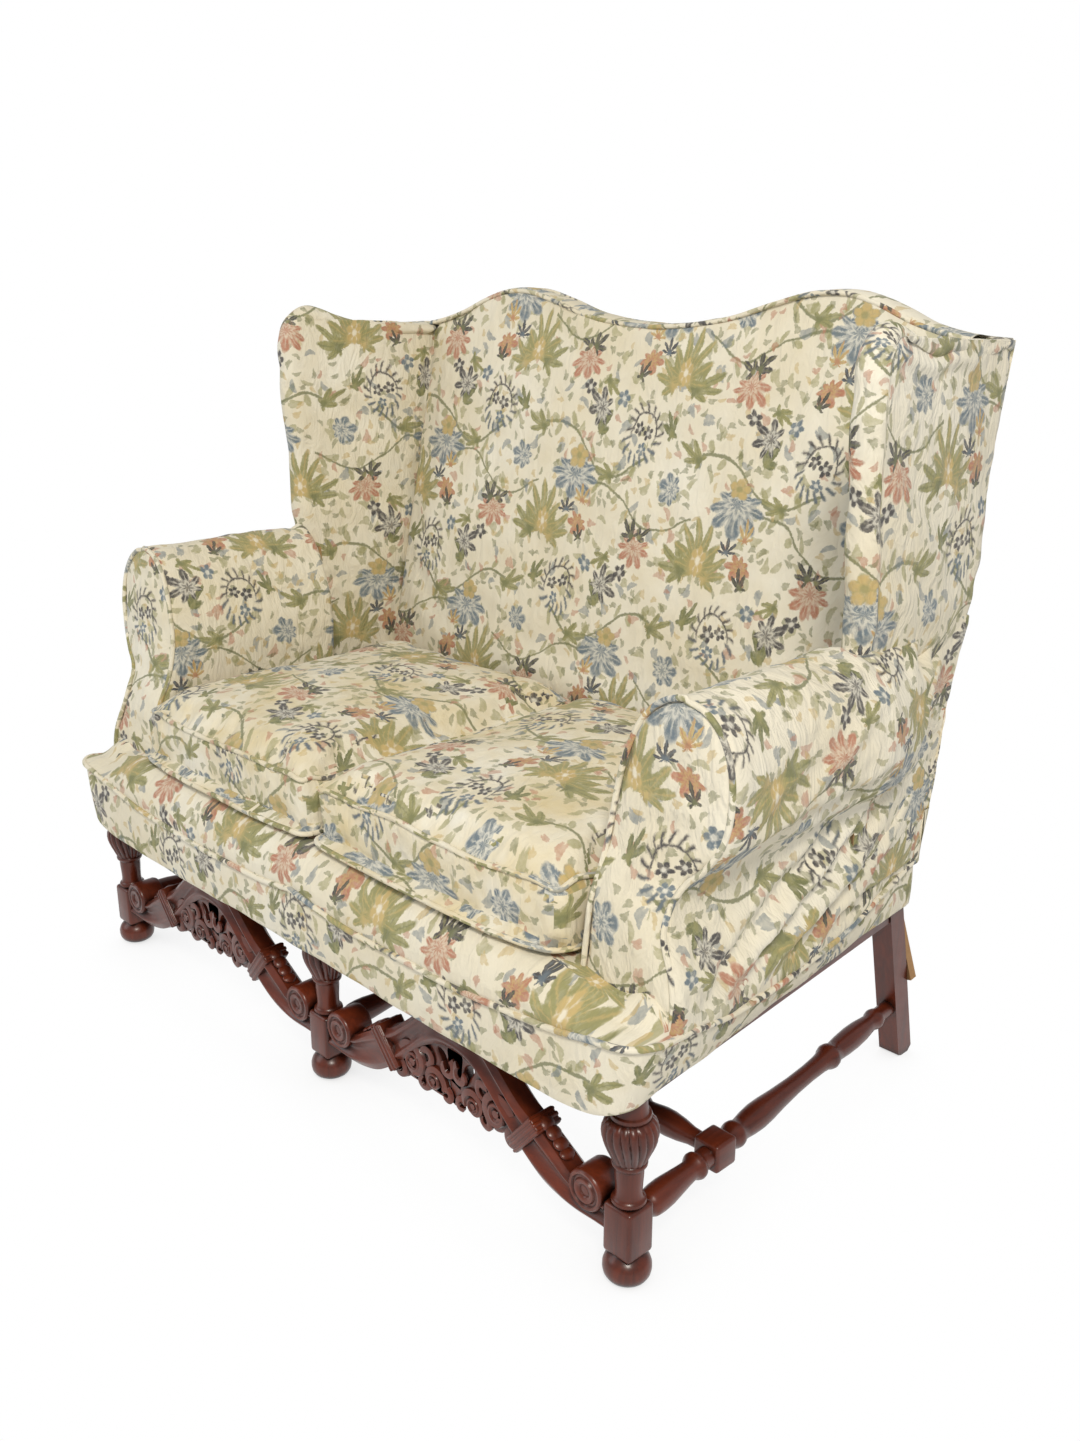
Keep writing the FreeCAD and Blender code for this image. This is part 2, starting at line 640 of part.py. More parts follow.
def cushion():
    """Return the outer form of a crowned seat cushion."""
    rings = []
    low = DECK_Z + CUSHION_GAP
    back_r = CUSHION_BACK_CORNER
    for height, inset in CUSHION_LEVELS:
        x0 = SEAT_MIDDLE + inset
        x1 = SEAT_X - inset
        front = SEAT_FRONT + inset
        bow = [(x0 + (x1 - x0) * share, front) for share in BOW_SHARES]
        points = [(x0, front + SEAT_BOW / 2), bow[0], bow[1], (x1, front + SEAT_BOW),
                  (x1, SEAT_BACK - inset), (x0, SEAT_BACK - inset)]
        radii = [back_r, back_r, back_r, CUSHION_CORNER, back_r, back_r]
        rings.append(rounded_ring(points, radii, low + height))
    return faceted(rings)


def cushion_core():
    """Return the foam core that fills a seat cushion's case."""
    low = DECK_Z + CUSHION_GAP + CORE_WALL / 2
    high = DECK_Z + CUSHION_GAP + CUSHION_LEVELS[-2][0] - CORE_TOP
    core = box(SEAT_MIDDLE + CORE_WALL, SEAT_X - CORE_WALL, SEAT_FRONT + SEAT_BOW + CORE_WALL,
               SEAT_BACK - CORE_WALL, low, high)
    uprights = [e for e in core.Edges if abs(e.Vertexes[0].Z - e.Vertexes[-1].Z) > 1.0]
    core = core.makeChamfer(CORE_WALL, uprights)
    rim = [e for e in core.Edges if e.BoundBox.ZMin > high - 0.1]
    return core.makeChamfer(CORE_WALL, rim)


def raked_slab(front_gap, thickness, low, high, half):
    """Return a board that leans with the back, behind the front padding."""
    y_low = rear(low) - front_gap
    y_high = rear(high) - front_gap
    return polygon([(y_low, low), (y_low + thickness, low), (y_high + thickness, high),
                    (y_high, high)], "yz", -half, half)


def hump_points(inset):
    """Return the serpentine top line across the whole back, lowered by an inset."""
    left = [(share * WING_OUTER, z - inset) for share, z in HUMPS]
    return left + [(-x, z) for x, z in reversed(left[:-1])]


nodes = {}
hump_top = max(z for share, z in HUMPS)
plan_shift = (FRONT_HEM_Y + rear(hump_top)) / 2

# Legs, feet and back posts
leg_x = {"left": -LEG_SPACING, "middle": 0.0, "right": LEG_SPACING}
back_x = {"left": -BACK_X, "middle": 0.0, "right": BACK_X}
legs = {name: front_leg(x) for name, x in leg_x.items()}
posts = {name: back_leg(x, BACK_MID_TOP if name == "middle" else BACK_TOP)
         for name, x in back_x.items()}
for name, x in leg_x.items():
    nodes["bun_foot_" + name] = bun_foot(x)

# Turned stretchers and their sockets
crossings = {}
for name in leg_x:
    piece, crossings[name] = side_stretcher(leg_x[name], back_x[name])
    nodes["side_stretcher_" + name] = piece
    start, end, way = stretcher_line(leg_x[name], back_x[name])
    reach = TENON_LENGTH + GLUE_GAP
    legs[name] = legs[name].cut(peg(TENON + GLUE_GAP, reach + 4, start + way * 4, way * -1))
    posts[name] = posts[name].cut(peg(TENON + GLUE_GAP, reach + 6, end - way * 6, way))
nodes["cross_stretcher_left"] = cross_stretcher(crossings["left"], crossings["middle"])
nodes["cross_stretcher_right"] = cross_stretcher(crossings["middle"], crossings["right"])

# Shoulders of the turned stretchers are trimmed to the legs they meet
for name in leg_x:
    piece = nodes["side_stretcher_" + name]
    post_trim = posts[name]
    nodes["side_stretcher_" + name] = piece.cut([legs[name], post_trim])

# Pierced carved stretchers
for name, centre, pair in (("left", -LEG_SPACING / 2, ("left", "middle")),
                           ("right", LEG_SPACING / 2, ("middle", "right"))):
    nodes["carved_stretcher_" + name] = carved_stretcher(centre)
    for leg in pair:
        legs[leg] = legs[leg].cut(carved_mortise(centre))
for name in leg_x:
    nodes["front_leg_" + name] = legs[name]

# Seat rails
half = BLOCK / 2
for name, x0, x1 in (("left", -LEG_SPACING + half, -half), ("right", half, LEG_SPACING - half)):
    nodes["seat_rail_front_" + name] = box(x0, x1, FRONT_RAIL_Y, FRONT_RAIL_Y + RAIL_THICK,
                                           RAIL_LOW, RAIL_HIGH)
inner = BACK_LEG / 2
for name, x0, x1 in (("left", -BACK_X + inner, -inner), ("right", inner, BACK_X - inner)):
    nodes["seat_rail_back_" + name] = box(x0, x1, BACK_RAIL_Y, BACK_RAIL_Y + BACK_RAIL_THICK,
                                          RAIL_LOW, RAIL_HIGH)
rail_end = BACK_RAIL_Y + BACK_RAIL_THICK - 9
side_rail = polygon([(LEG_SPACING - RAIL_THICK / 2, half), (LEG_SPACING + RAIL_THICK / 2, half),
                     (BACK_X + RAIL_THICK / 2, rail_end), (BACK_X - RAIL_THICK / 2, rail_end)],
                    "xy", RAIL_LOW, RAIL_HIGH)
side_rail = side_rail.cut(posts["right"])
side_rail = max(side_rail.Solids, key=lambda s: s.Volume)
nodes["seat_rail_side_right"] = side_rail
nodes["seat_rail_side_left"] = mirrored(side_rail)
middle_rail = box(-RAIL_THICK / 2, RAIL_THICK / 2, half, rail_end, RAIL_LOW + 14, RAIL_HIGH)
middle_rail = middle_rail.cut(posts["middle"])
nodes["seat_rail_middle"] = max(middle_rail.Solids, key=lambda s: s.Volume)

# Corner blocks glued and screwed inside the front corners
rail_back = FRONT_RAIL_Y + RAIL_THICK
corner_block = polygon([(LEG_SPACING - BLOCK_LEG, rail_back), (LEG_SPACING - half, rail_back),
                        (LEG_SPACING, half), (LEG_SPACING, BLOCK_LEG)], "xy",
                       RAIL_LOW + 20, RAIL_HIGH - 5)
corner_block = corner_block.cut([side_rail, legs["right"]])
corner_block = max(corner_block.Solids, key=lambda s: s.Volume)
screws = []
for z in (RAIL_LOW + 32, RAIL_HIGH - 20):
    head = vec(LEG_SPACING - 62.0, rail_back + 34.0, z)
    tip = (vec(LEG_SPACING, 0, z) - head).normalize()
    screws.append(faceted([ring(SCREW[0], run, SCREW_SIDES) for run in (0.0, SCREW[1])]))
    screws[-1].Placement = FreeCAD.Placement(head, FreeCAD.Rotation(vec(0, 0, 1), tip))
screw_group = Part.makeCompound(screws)
corner_block = corner_block.cut(screw_group)
front_right_leg = legs["right"].cut(screw_group)
nodes["front_leg_right"] = front_right_leg
nodes["front_leg_left"] = mirrored(front_right_leg)
nodes["corner_block_right"] = corner_block
nodes["corner_block_left"] = mirrored(corner_block)
nodes["corner_screws"] = Part.makeCompound(screws + [mirrored(s) for s in screws])

# Back rails
top_outline = hump_points(TOP_RAIL_INSET)
outer = BACK_X + inner
top_outline = [p for p in top_outline if abs(p[0]) < outer]
top_rail = closed_outline([((-outer, TOP_RAIL_LOW), (-outer, TOP_RAIL_END)),
                           ((-outer, TOP_RAIL_END),) + tuple(top_outline[1:-1])
                           + ((outer, TOP_RAIL_END),),
                           ((outer, TOP_RAIL_END), (outer, TOP_RAIL_LOW))], "xz", 0.0, FAR)
nodes["back_top_rail"] = top_rail.common(raked_slab(40.0, 24.0, LOW_RAIL[1], FAR, FAR))
nodes["back_post_left"] = posts["left"]
nodes["back_post_middle"] = posts["middle"]
nodes["back_post_right"] = posts["right"]
for name, x0, x1 in (("left", -BACK_X + inner, -inner), ("right", inner, BACK_X - inner)):
    slab = raked_slab(42.0, BOARD, LOW_RAIL[0], LOW_RAIL[1], FAR)
    nodes["back_lower_rail_" + name] = slab.common(box(x0, x1, 0.0, FAR, 0.0, FAR))
frame_posts = [nodes["back_post_left"], nodes["back_post_middle"], nodes["back_post_right"]]
nodes["back_top_rail"] = nodes["back_top_rail"].cut(frame_posts)

# Arm and wing frame
arm_board = Part.Face(section_wire(ARM_SECTION, ARM_BOARD_Y))
arm_board = arm_board.extrude(vec(0, BOARD, 0))
x0, x1 = [ARM_INNER + off for off in ARM_BOARD_WIDE]
scroll_x, scroll_z, scroll_r = ARM_SCROLL
board_back = ARM_BOARD_Y + BOARD
arm_board = arm_board.common(box(x0, x1, 0.0, board_back, RAIL_HIGH + 20, scroll_z + scroll_r - 2))
scroll = Part.makeCylinder(scroll_r, BOARD, vec(ARM_INNER + scroll_x, ARM_BOARD_Y, scroll_z),
                           vec(0, 1, 0))
arm_board = arm_board.fuse(scroll).removeSplitter()
arm_foot = box(ARM_INNER + ARM_FOOT_X, x1, ARM_BOARD_Y, board_back, RAIL_HIGH, RAIL_HIGH + 21)
arm_board = join([arm_board, arm_foot])
nodes["arm_board_right"] = arm_board
y0, y1 = WING_POST_Y
x1 = WING_OUTER - WING_POST_COVER
x0 = x1 - BOARD
wing_post = box(x0, x1, y0, y1, RAIL_HIGH + BOARD, WING_POST_TOP)
side_foot = box(BACK_X + 7.0, x1 - 16.0, y0, y1, RAIL_HIGH, RAIL_HIGH + BOARD)
wing_post = join([wing_post, side_foot])
nodes["wing_post_right"] = wing_post
wing_rail_y = back_centre(WING_RAIL[0]) - BACK_LEG / 2
wing_rail = polygon([(x0 - 3, y1), (x1 - 3, y1), (BACK_X + 24, wing_rail_y),
                     (BACK_X + 2, wing_rail_y)], "xy", WING_RAIL[0], WING_RAIL[1])
x0, x1, z0, z1 = ARM_RAIL
nodes["arm_rail_right"] = box(ARM_INNER + x0, ARM_INNER + x1, board_back, y0, z0, z1)
wing_rail = wing_rail.cut([posts["right"], nodes["back_top_rail"]])
nodes["wing_rail_right"] = max(wing_rail.Solids, key=lambda s: s.Volume)
for name in ("arm_board", "wing_post", "arm_rail", "wing_rail"):
    nodes[name + "_left"] = mirrored(nodes[name + "_right"])

# Plain braces behind the back legs
thick, wide, tall = BRACE
brace = box(-wide, 0.0, 0.0, thick, 0.0, tall)
brace.rotate(vec(0, 0, 0), vec(0, 1, 0), -BRACE_SPLAY)
brace_foot = vec(HALF_BACK - BRACE_INSET, back_centre(BRACE_LOW) + BACK_LEG / 2, BRACE_LOW)
brace.translate(brace_foot)
brace.rotate(brace_foot, vec(1, 0, 0), BRACE_LEAN)
brace = brace.cut(posts["right"])
nodes["back_brace_right"] = max(brace.Solids, key=lambda s: s.Volume)
nodes["back_brace_left"] = mirrored(nodes["back_brace_right"])

# Webbing and canvas across the seat rails
wide, thin = WEB
web_pitch = (LEG_SPACING - WEB_EDGE) / WEB_COUNT
web_back = BACK_RAIL_Y + BACK_RAIL_THICK - 3
straps = []
for i in range(WEB_COUNT):
    x = web_pitch * (i + 1)
    strap = box(x - wide / 2, x + wide / 2, FRONT_RAIL_Y + 2, web_back, RAIL_HIGH,
                RAIL_HIGH + thin)
    straps += [strap, mirrored(strap)]
nodes["seat_webbing"] = Part.makeCompound(straps)
canvas_z = RAIL_HIGH + thin
canvas_half = BACK_X - 23
canvas_back = BACK_RAIL_Y - 27
nodes["seat_canvas"] = box(-canvas_half, canvas_half, SIDE_BAND_FRONT, canvas_back, canvas_z,
                           canvas_z + CANVAS)
back_pitch = (BACK_X - BACK_WEB_EDGE - BACK_WEB_START) / (BACK_WEB_COUNT - 1)
web_slab = raked_slab(44.0, thin, LOW_RAIL[0], TOP_RAIL_LOW + 20, FAR)
back_straps = []
for i in range(BACK_WEB_COUNT):
    x = BACK_WEB_START + back_pitch * i
    strap = web_slab.common(box(x - wide / 2, x + wide / 2, 0.0, FAR, 0.0, FAR))
    back_straps += [strap, mirrored(strap)]
nodes["back_webbing"] = Part.makeCompound(back_straps)

# Soft forms over the frame
wood = [nodes[name] for name in sorted(nodes) if name.split("_")[0] in
        ("back", "seat", "arm", "wing", "front", "corner")]
frame_wood = Part.makeCompound(wood)
seat_pad = faceted([base_ring(WELT_Z, 0.0), base_ring(PAD_Z, PAD_DRAW)])
well = polygon([(-LEG_SPACING, 0.0), (LEG_SPACING, 0.0), (BACK_X, rail_end), (-BACK_X, rail_end)],
               "xy", 0.0, canvas_z)
deck = polygon(list(DECK_LIP) + [(DECK_BACK, DECK_Z), (DECK_BACK, PAD_Z)], "yz", -DECK_HALF,
               DECK_HALF)
seat_pad = join([seat_pad, deck]).cut(well).cut([nodes["seat_canvas"], frame_wood])
nodes["seat_stuffing"] = max(seat_pad.Solids, key=lambda s: s.Volume)
nodes.update(cover_bands())
cloth_half = BACK_X + 7
nodes["bottom_cloth"] = box(-cloth_half, cloth_half, SIDE_BAND_FRONT, canvas_back,
                            RAIL_LOW - CANVAS, RAIL_LOW)

front_line = list(BACK_FRONT_LINE)
back_top = front_line[-1][1]
back_low = ARM_LOW
back_profile = polygon(front_line + [(rear(back_top) - SKIN, back_top),
                                     (rear(back_low) - SKIN, back_low),
                                     (front_line[0][0], back_low)], "yz", -BACK_HALF, BACK_HALF)
edge = HUMPS[0][1]
skyline = closed_outline([((-WING_OUTER, 0.0), (-WING_OUTER, edge)), tuple(hump_points(0.0)),
                          ((WING_OUTER, edge), (WING_OUTER, 0.0))], "xz", 0.0, FAR)
back_pad = back_profile.common(skyline)
back_pad = back_pad.cut(frame_wood)
nodes["back_stuffing"] = back_pad
outside_half = HALF_BACK - 6
outside_low = PAD_Z
outside = polygon([(rear(outside_low), outside_low), (rear(back_top), back_top),
                   (rear(back_top) - SKIN + GLUE_GAP, back_top),
                   (rear(outside_low) - SKIN + GLUE_GAP, outside_low)], "yz", -outside_half,
                  outside_half)
nodes["cover_outside_back"] = outside.common(skyline)

pad = wing(WING_OUTLINE).cut(frame_wood)
nodes["wing_stuffing_right"] = max(pad.Solids, key=lambda s: s.Volume)
pad = arm().cut(frame_wood)
nodes["arm_stuffing_right"] = max(pad.Solids, key=lambda s: s.Volume)
pad = side_padding().cut(frame_wood)
nodes["side_stuffing_right"] = max(pad.Solids, key=lambda s: s.Volume)
for name in ("wing_stuffing", "arm_stuffing", "side_stuffing"):
    nodes[name + "_left"] = mirrored(nodes[name + "_right"])

# Loose seat cushions
filling = cushion_core()
case = cushion().cut(filling)
nodes["cushion_cover_right"] = case
nodes["cushion_fill_right"] = filling
nodes["cushion_cover_left"] = mirrored(case)
nodes["cushion_fill_left"] = mirrored(filling)

os.makedirs("parts", exist_ok=True)
for name, shape in nodes.items():
    shape.translate(vec(0, -plan_shift, 0))
    shape.exportStep("parts/" + name + ".step")
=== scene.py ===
"""High back settee with wings, rolled arms, a floral loose cover and turned, carved legs.

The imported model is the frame.  Every soft form and every turned or carved piece of wood that
shows is modelled here over its plain solid.  Lengths in the classes are millimetres, measured
from the line of the front legs, and `Place` turns them into the frame's metres.
"""
from __future__ import annotations

import json
import logging
import math
from dataclasses import dataclass, field
from enum import Enum
from typing import Callable, Sequence

import bpy
import numpy as np
from mathutils import Matrix, Vector, noise

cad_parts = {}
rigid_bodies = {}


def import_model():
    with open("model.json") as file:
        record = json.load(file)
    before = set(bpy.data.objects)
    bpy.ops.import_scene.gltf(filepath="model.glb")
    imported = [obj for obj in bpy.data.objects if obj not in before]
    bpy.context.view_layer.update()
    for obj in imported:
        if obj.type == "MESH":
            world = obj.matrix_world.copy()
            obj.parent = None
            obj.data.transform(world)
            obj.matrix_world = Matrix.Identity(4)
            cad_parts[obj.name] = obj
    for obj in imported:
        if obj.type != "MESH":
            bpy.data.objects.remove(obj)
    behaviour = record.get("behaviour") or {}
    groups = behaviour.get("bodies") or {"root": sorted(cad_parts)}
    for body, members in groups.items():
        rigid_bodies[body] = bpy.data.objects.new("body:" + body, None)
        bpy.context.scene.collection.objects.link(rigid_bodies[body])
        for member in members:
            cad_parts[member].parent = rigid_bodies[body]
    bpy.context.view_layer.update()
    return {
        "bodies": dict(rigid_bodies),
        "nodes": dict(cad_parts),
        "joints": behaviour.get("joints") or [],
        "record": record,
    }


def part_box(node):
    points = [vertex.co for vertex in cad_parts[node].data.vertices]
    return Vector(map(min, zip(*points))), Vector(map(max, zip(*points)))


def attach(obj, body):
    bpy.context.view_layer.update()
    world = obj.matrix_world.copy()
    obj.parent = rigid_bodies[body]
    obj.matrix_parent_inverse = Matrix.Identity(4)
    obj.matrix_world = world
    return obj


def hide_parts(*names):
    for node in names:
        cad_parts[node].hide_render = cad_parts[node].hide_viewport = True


LOG = logging.getLogger("settee")
Point = tuple[float, float, float]
Colour = tuple[float, float, float]
Array = np.ndarray
Pair = tuple[float, float]
Knots = tuple[Pair, ...]
Laid = tuple[Array, Array, Array, Array, Array]
Piece = bpy.types.Object
Tree = bpy.types.NodeTree
Socket = bpy.types.NodeSocket
Node = bpy.types.Node
Material = bpy.types.Material
MM = 0.001


def shade(red: int, green: int, blue: int) -> Colour:
    """Return the linear colour of a display colour.

    Args:
        red: Red from 0 to 255.
        green: Green from 0 to 255.
        blue: Blue from 0 to 255.

    Returns:
        The three linear channels.
    """
    def channel(value: int) -> float:
        """Return one linear channel."""
        part = value / 255
        return part / 12.92 if part <= 0.04045 else ((part + 0.055) / 1.055) ** 2.4
    return channel(red), channel(green), channel(blue)


class Side(Enum):
    """The two hands of the settee."""

    LEFT = -1
    RIGHT = 1

    @property
    def word(self) -> str:
        """Return the hand's name in the frame."""
        return self.name.lower()


class Grain(Enum):
    """The way the grain of a piece of wood runs."""

    ACROSS = 0
    DEPTH = 1
    UPRIGHT = 2


@dataclass
class Place:
    """Turns the settee's millimetres into the frame's metres."""

    leg_line: float

    @classmethod
    def from_frame(cls) -> Place:
        """Return the place found from the middle foot of the frame."""
        low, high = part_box("bun_foot_middle")
        return cls((low.y + high.y) / 2)

    def point(self, x: float, y: float, z: float) -> Vector:
        """Return a point of the frame."""
        return Vector((x * MM, y * MM + self.leg_line, z * MM))

    def array(self, x: Array, y: Array, z: Array) -> Array:
        """Return rows of points of the frame."""
        rows = np.stack([x * MM, y * MM + self.leg_line, z * MM], axis=-1)
        return rows.reshape(-1, 3)


def along(value: Array, knots: Sequence[Pair]) -> Array:
    """Return a smooth run through knots.

    Args:
        value: Where to read the run.
        knots: Pairs of place and height, in rising order.

    Returns:
        The run's height at each value, on a curve that bends softly at each knot.
    """
    xs = np.array([k[0] for k in knots], float)
    ys = np.array([k[1] for k in knots], float)
    value = np.clip(np.asarray(value, float), xs[0], xs[-1])
    slope = np.gradient(ys, xs) if len(xs) > 2 else np.full(len(xs), (ys[1] - ys[0]) / (xs[1] - xs[0]))
    i = np.clip(np.searchsorted(xs, value, side="right") - 1, 0, len(xs) - 2)
    span = xs[i + 1] - xs[i]
    t = (value - xs[i]) / span
    return ((2 * t**3 - 3 * t**2 + 1) * ys[i] + (t**3 - 2 * t**2 + t) * span * slope[i]
            + (3 * t**2 - 2 * t**3) * ys[i + 1] + (t**3 - t**2) * span * slope[i + 1])


def ease(value: Array, low: float, high: float) -> Array:
    """Return a soft step from 0 at low to 1 at high."""
    t = np.clip((np.asarray(value, float) - low) / (high - low), 0, 1)
    return t * t * (3 - 2 * t)


def travel(points: Array) -> Array:
    """Return the length run along rows of points, from the first of each row."""
    steps = np.linalg.norm(np.diff(points, axis=0), axis=-1)
    return np.concatenate([[0.0], np.cumsum(steps)])


def bend(before: Pair, here: Pair, after: Pair, reach: float) -> list[Array]:
    """Return the points of a corner that is rounded from a reach before it to a reach after it."""
    corner = np.array(here, float)
    into, out = np.array(before, float) - corner, np.array(after, float) - corner
    into, out = into / np.linalg.norm(into), out / np.linalg.norm(out)
    points = []
    for step in np.linspace(0, 1, 9):
        a = corner + into * reach * (1 - step)
        b = corner + out * reach * step
        points.append(a * (1 - step) + b * step)
    return points


@dataclass
class Bench:
    """The modelling steps that every piece shares."""

    place: Place

    @staticmethod
    def clear() -> None:
        """Deselect everything and leave edit mode."""
        if bpy.context.object and bpy.context.object.mode != "OBJECT":
            bpy.ops.object.mode_set(mode="OBJECT")
        bpy.ops.object.select_all(action="DESELECT")

    @staticmethod
    def pick(obj: Piece) -> Piece:
        """Select one object and make it active."""
        Bench.clear()
        obj.hide_viewport = False
        obj.select_set(True)
        bpy.context.view_layer.objects.active = obj
        return obj

    @staticmethod
    def settle(obj: Piece) -> Piece:
        """Put an object's place into its mesh."""
        Bench.pick(obj)
        bpy.ops.object.transform_apply(location=True, rotation=True, scale=True)
        return obj

    @staticmethod
    def smooth(obj: Piece, degrees: float = 40.0) -> Piece:
        """Shade an object smooth up to an angle."""
        Bench.pick(obj)
        bpy.ops.object.shade_smooth_by_angle(angle=math.radians(degrees))
        return obj

    @staticmethod
    def modify(obj: Piece, kind: str, **settings: object) -> Piece:
        """Add a modifier with its settings and apply it."""
        Bench.pick(obj)
        modifier = obj.modifiers.new(kind.title(), kind)
        for name, value in settings.items():
            setattr(modifier, name, value)
        bpy.ops.object.modifier_apply(modifier=modifier.name)
        return obj

    @staticmethod
    def join(name: str, pieces: Sequence[Piece], weld: float = 0.0004) -> Piece:
        """Join pieces into one closed mesh.

        Args:
            name: The name of the joined piece.
            pieces: The pieces, of which the first is kept.
            weld: How near in metres two points are to become one.

        Returns:
            The joined piece, its normals outwards.
        """
        Bench.clear()
        for piece in pieces:
            piece.select_set(True)
        bpy.context.view_layer.objects.active = pieces[0]
        if len(pieces) > 1:
            bpy.ops.object.join()
        obj = bpy.context.object
        obj.name = name
        if weld:
            bpy.ops.object.mode_set(mode="EDIT")
            bpy.ops.mesh.select_all(action="SELECT")
            bpy.ops.mesh.remove_doubles(threshold=weld)
            bpy.ops.mesh.normals_make_consistent(inside=False)
            bpy.ops.object.mode_set(mode="OBJECT")
        return obj

    @staticmethod
    def seal(obj: Piece, bridge: bool = False) -> Piece:
        """Close a welded piece by bridging its two rims or filling its open ends."""
        Bench.pick(obj)
        bpy.ops.object.mode_set(mode="EDIT")
        bpy.ops.mesh.select_all(action="DESELECT")
        bpy.ops.mesh.select_non_manifold()
        if bridge:
            bpy.ops.mesh.bridge_edge_loops()
        else:
            bpy.ops.mesh.fill_holes(sides=0)
        bpy.ops.object.mode_set(mode="OBJECT")
        return obj

    def cloth(self, name: str, across: int, down: int,
              shape: Callable[[Array, Array], Laid]) -> Piece:
        """Lay a grid of cloth over a shape.

        Args:
            name: The piece's name.
            across: Steps across the grid.
            down: Steps down the grid.
            shape: Gives x, y, z and the two cloth lengths from the grid's two shares.

        Returns:
            The laid piece, with its cloth lengths in metres as its UV map.
        """
        self.clear()
        bpy.ops.mesh.primitive_grid_add(x_subdivisions=across, y_subdivisions=down, size=1.0)
        obj = bpy.context.object
        obj.name = name
        mesh = obj.data
        flat = np.zeros(len(mesh.vertices) * 3, np.float32)
        mesh.vertices.foreach_get("co", flat)
        share = flat.reshape(-1, 3)[:, :2].astype(float) + 0.5
        x, y, z, s, t = shape(share[:, 0], share[:, 1])
        mesh.vertices.foreach_set("co", self.place.array(x, y, z).astype(np.float32).ravel())
        loops = np.zeros(len(mesh.loops), np.int32)
        mesh.loops.foreach_get("vertex_index", loops)
        lengths = np.stack([s + 0 * x, t + 0 * x], axis=-1) * MM
        mesh.uv_layers[0].data.foreach_set("uv", lengths[loops].astype(np.float32).ravel())
        mesh.uv_layers[0].name = "Cloth"
        mesh.update()
        return obj

    def tube(self, name: str, path: Array, radius: float, sides: int = 10,
             closed: bool = False) -> Piece:
        """Lay a round cord of cloth along a path.

        Args:
            name: The piece's name.
            path: Rows of points in millimetres.
            radius: The cord's radius.
            sides: Faces round the cord.
            closed: Whether the path ends where it starts.

        Returns:
            The cord as a mesh.
        """
        path = np.asarray(path, float)
        if closed:
            path = np.vstack([path, path[:1]])
        run = travel(path)
        tangent = np.gradient(path, axis=0)
        tangent /= np.linalg.norm(tangent, axis=1)[:, None] + 1e-9
        side = [np.cross(tangent[0], (0.3, 0.2, 0.9))]
        for way in tangent:
            last = side[-1] - way * side[-1].dot(way)
            side.append(last / (np.linalg.norm(last) + 1e-9))
        frame_a = np.array(side[1:])
        frame_b = np.cross(tangent, frame_a)

        def shape(u: Array, v: Array) -> Laid:
            """Return the cord's surface."""
            index = np.clip(np.rint(v * (len(path) - 1)).astype(int), 0, len(path) - 1)
            angle = u * 2 * math.pi
            spot = (path[index] + frame_a[index] * (radius * np.cos(angle))[:, None]
                    + frame_b[index] * (radius * np.sin(angle))[:, None])
            return spot[:, 0], spot[:, 1], spot[:, 2], angle * radius, run[index]

        obj = self.cloth(name, sides, len(path) - 1, shape)
        return self.smooth(self.seal(self.join(name, [obj], 0.00005)), 60)

    def lathe(self, name: str, profile: Sequence[Pair], sides: int = 40) -> Piece:
        """Turn a profile about the Z axis by extruding a disc ring by ring.

        Args:
            name: The piece's name.
            profile: Pairs of height and radius in millimetres.
            sides: Faces round the piece.

        Returns:
            The turned piece, with its axis on the frame's Z axis.
        """
        self.clear()
        low, first = profile[0]
        bpy.ops.mesh.primitive_circle_add(vertices=sides, radius=first * MM, fill_type="NGON",
                                          location=(0, 0, low * MM))
        obj = bpy.context.object
        obj.name = name
        bpy.ops.object.transform_apply(location=True)
        bpy.ops.object.mode_set(mode="EDIT")
        bpy.ops.mesh.select_all(action="SELECT")
        for (z0, r0), (z1, r1) in zip(profile, profile[1:]):
            bpy.ops.mesh.extrude_region_move(TRANSFORM_OT_translate={"value": (0, 0, (z1 - z0) * MM)})
            scale = r1 / r0
            bpy.ops.transform.resize(value=(scale, scale, 1), center_override=(0, 0, z1 * MM))
        bpy.ops.mesh.select_all(action="SELECT")
        bpy.ops.mesh.normals_make_consistent(inside=False)
        bpy.ops.object.mode_set(mode="OBJECT")
        return obj

    def block(self, name: str, low: Point, high: Point, bevel: float, segments: int = 3) -> Piece:
        """Cut a block between two corners and ease its edges."""
        self.clear()
        centre = [(a + b) / 2 for a, b in zip(low, high)]
        size = [(b - a) * MM for a, b in zip(low, high)]
        bpy.ops.mesh.primitive_cube_add(size=1, location=self.place.point(*centre), scale=size)
        obj = bpy.context.object
        obj.name = name
        self.settle(obj)
        return self.modify(obj, "BEVEL", width=bevel * MM, segments=segments, limit_method="NONE")

    def stand(self, obj: Piece, base: Vector, way: Vector) -> Piece:
        """Turn a piece from the Z axis onto a line and put its place into its mesh."""
        obj.rotation_mode = "QUATERNION"
        obj.rotation_quaternion = Vector((0, 0, 1)).rotation_difference(way)
        obj.location = base
        return self.settle(obj)


@dataclass(frozen=True)
class Fold:
    """A crease or swell of the cloth along a bent line."""

    path: tuple[Point, ...]
    width: float
    depth: float
    lip: float = 0.35


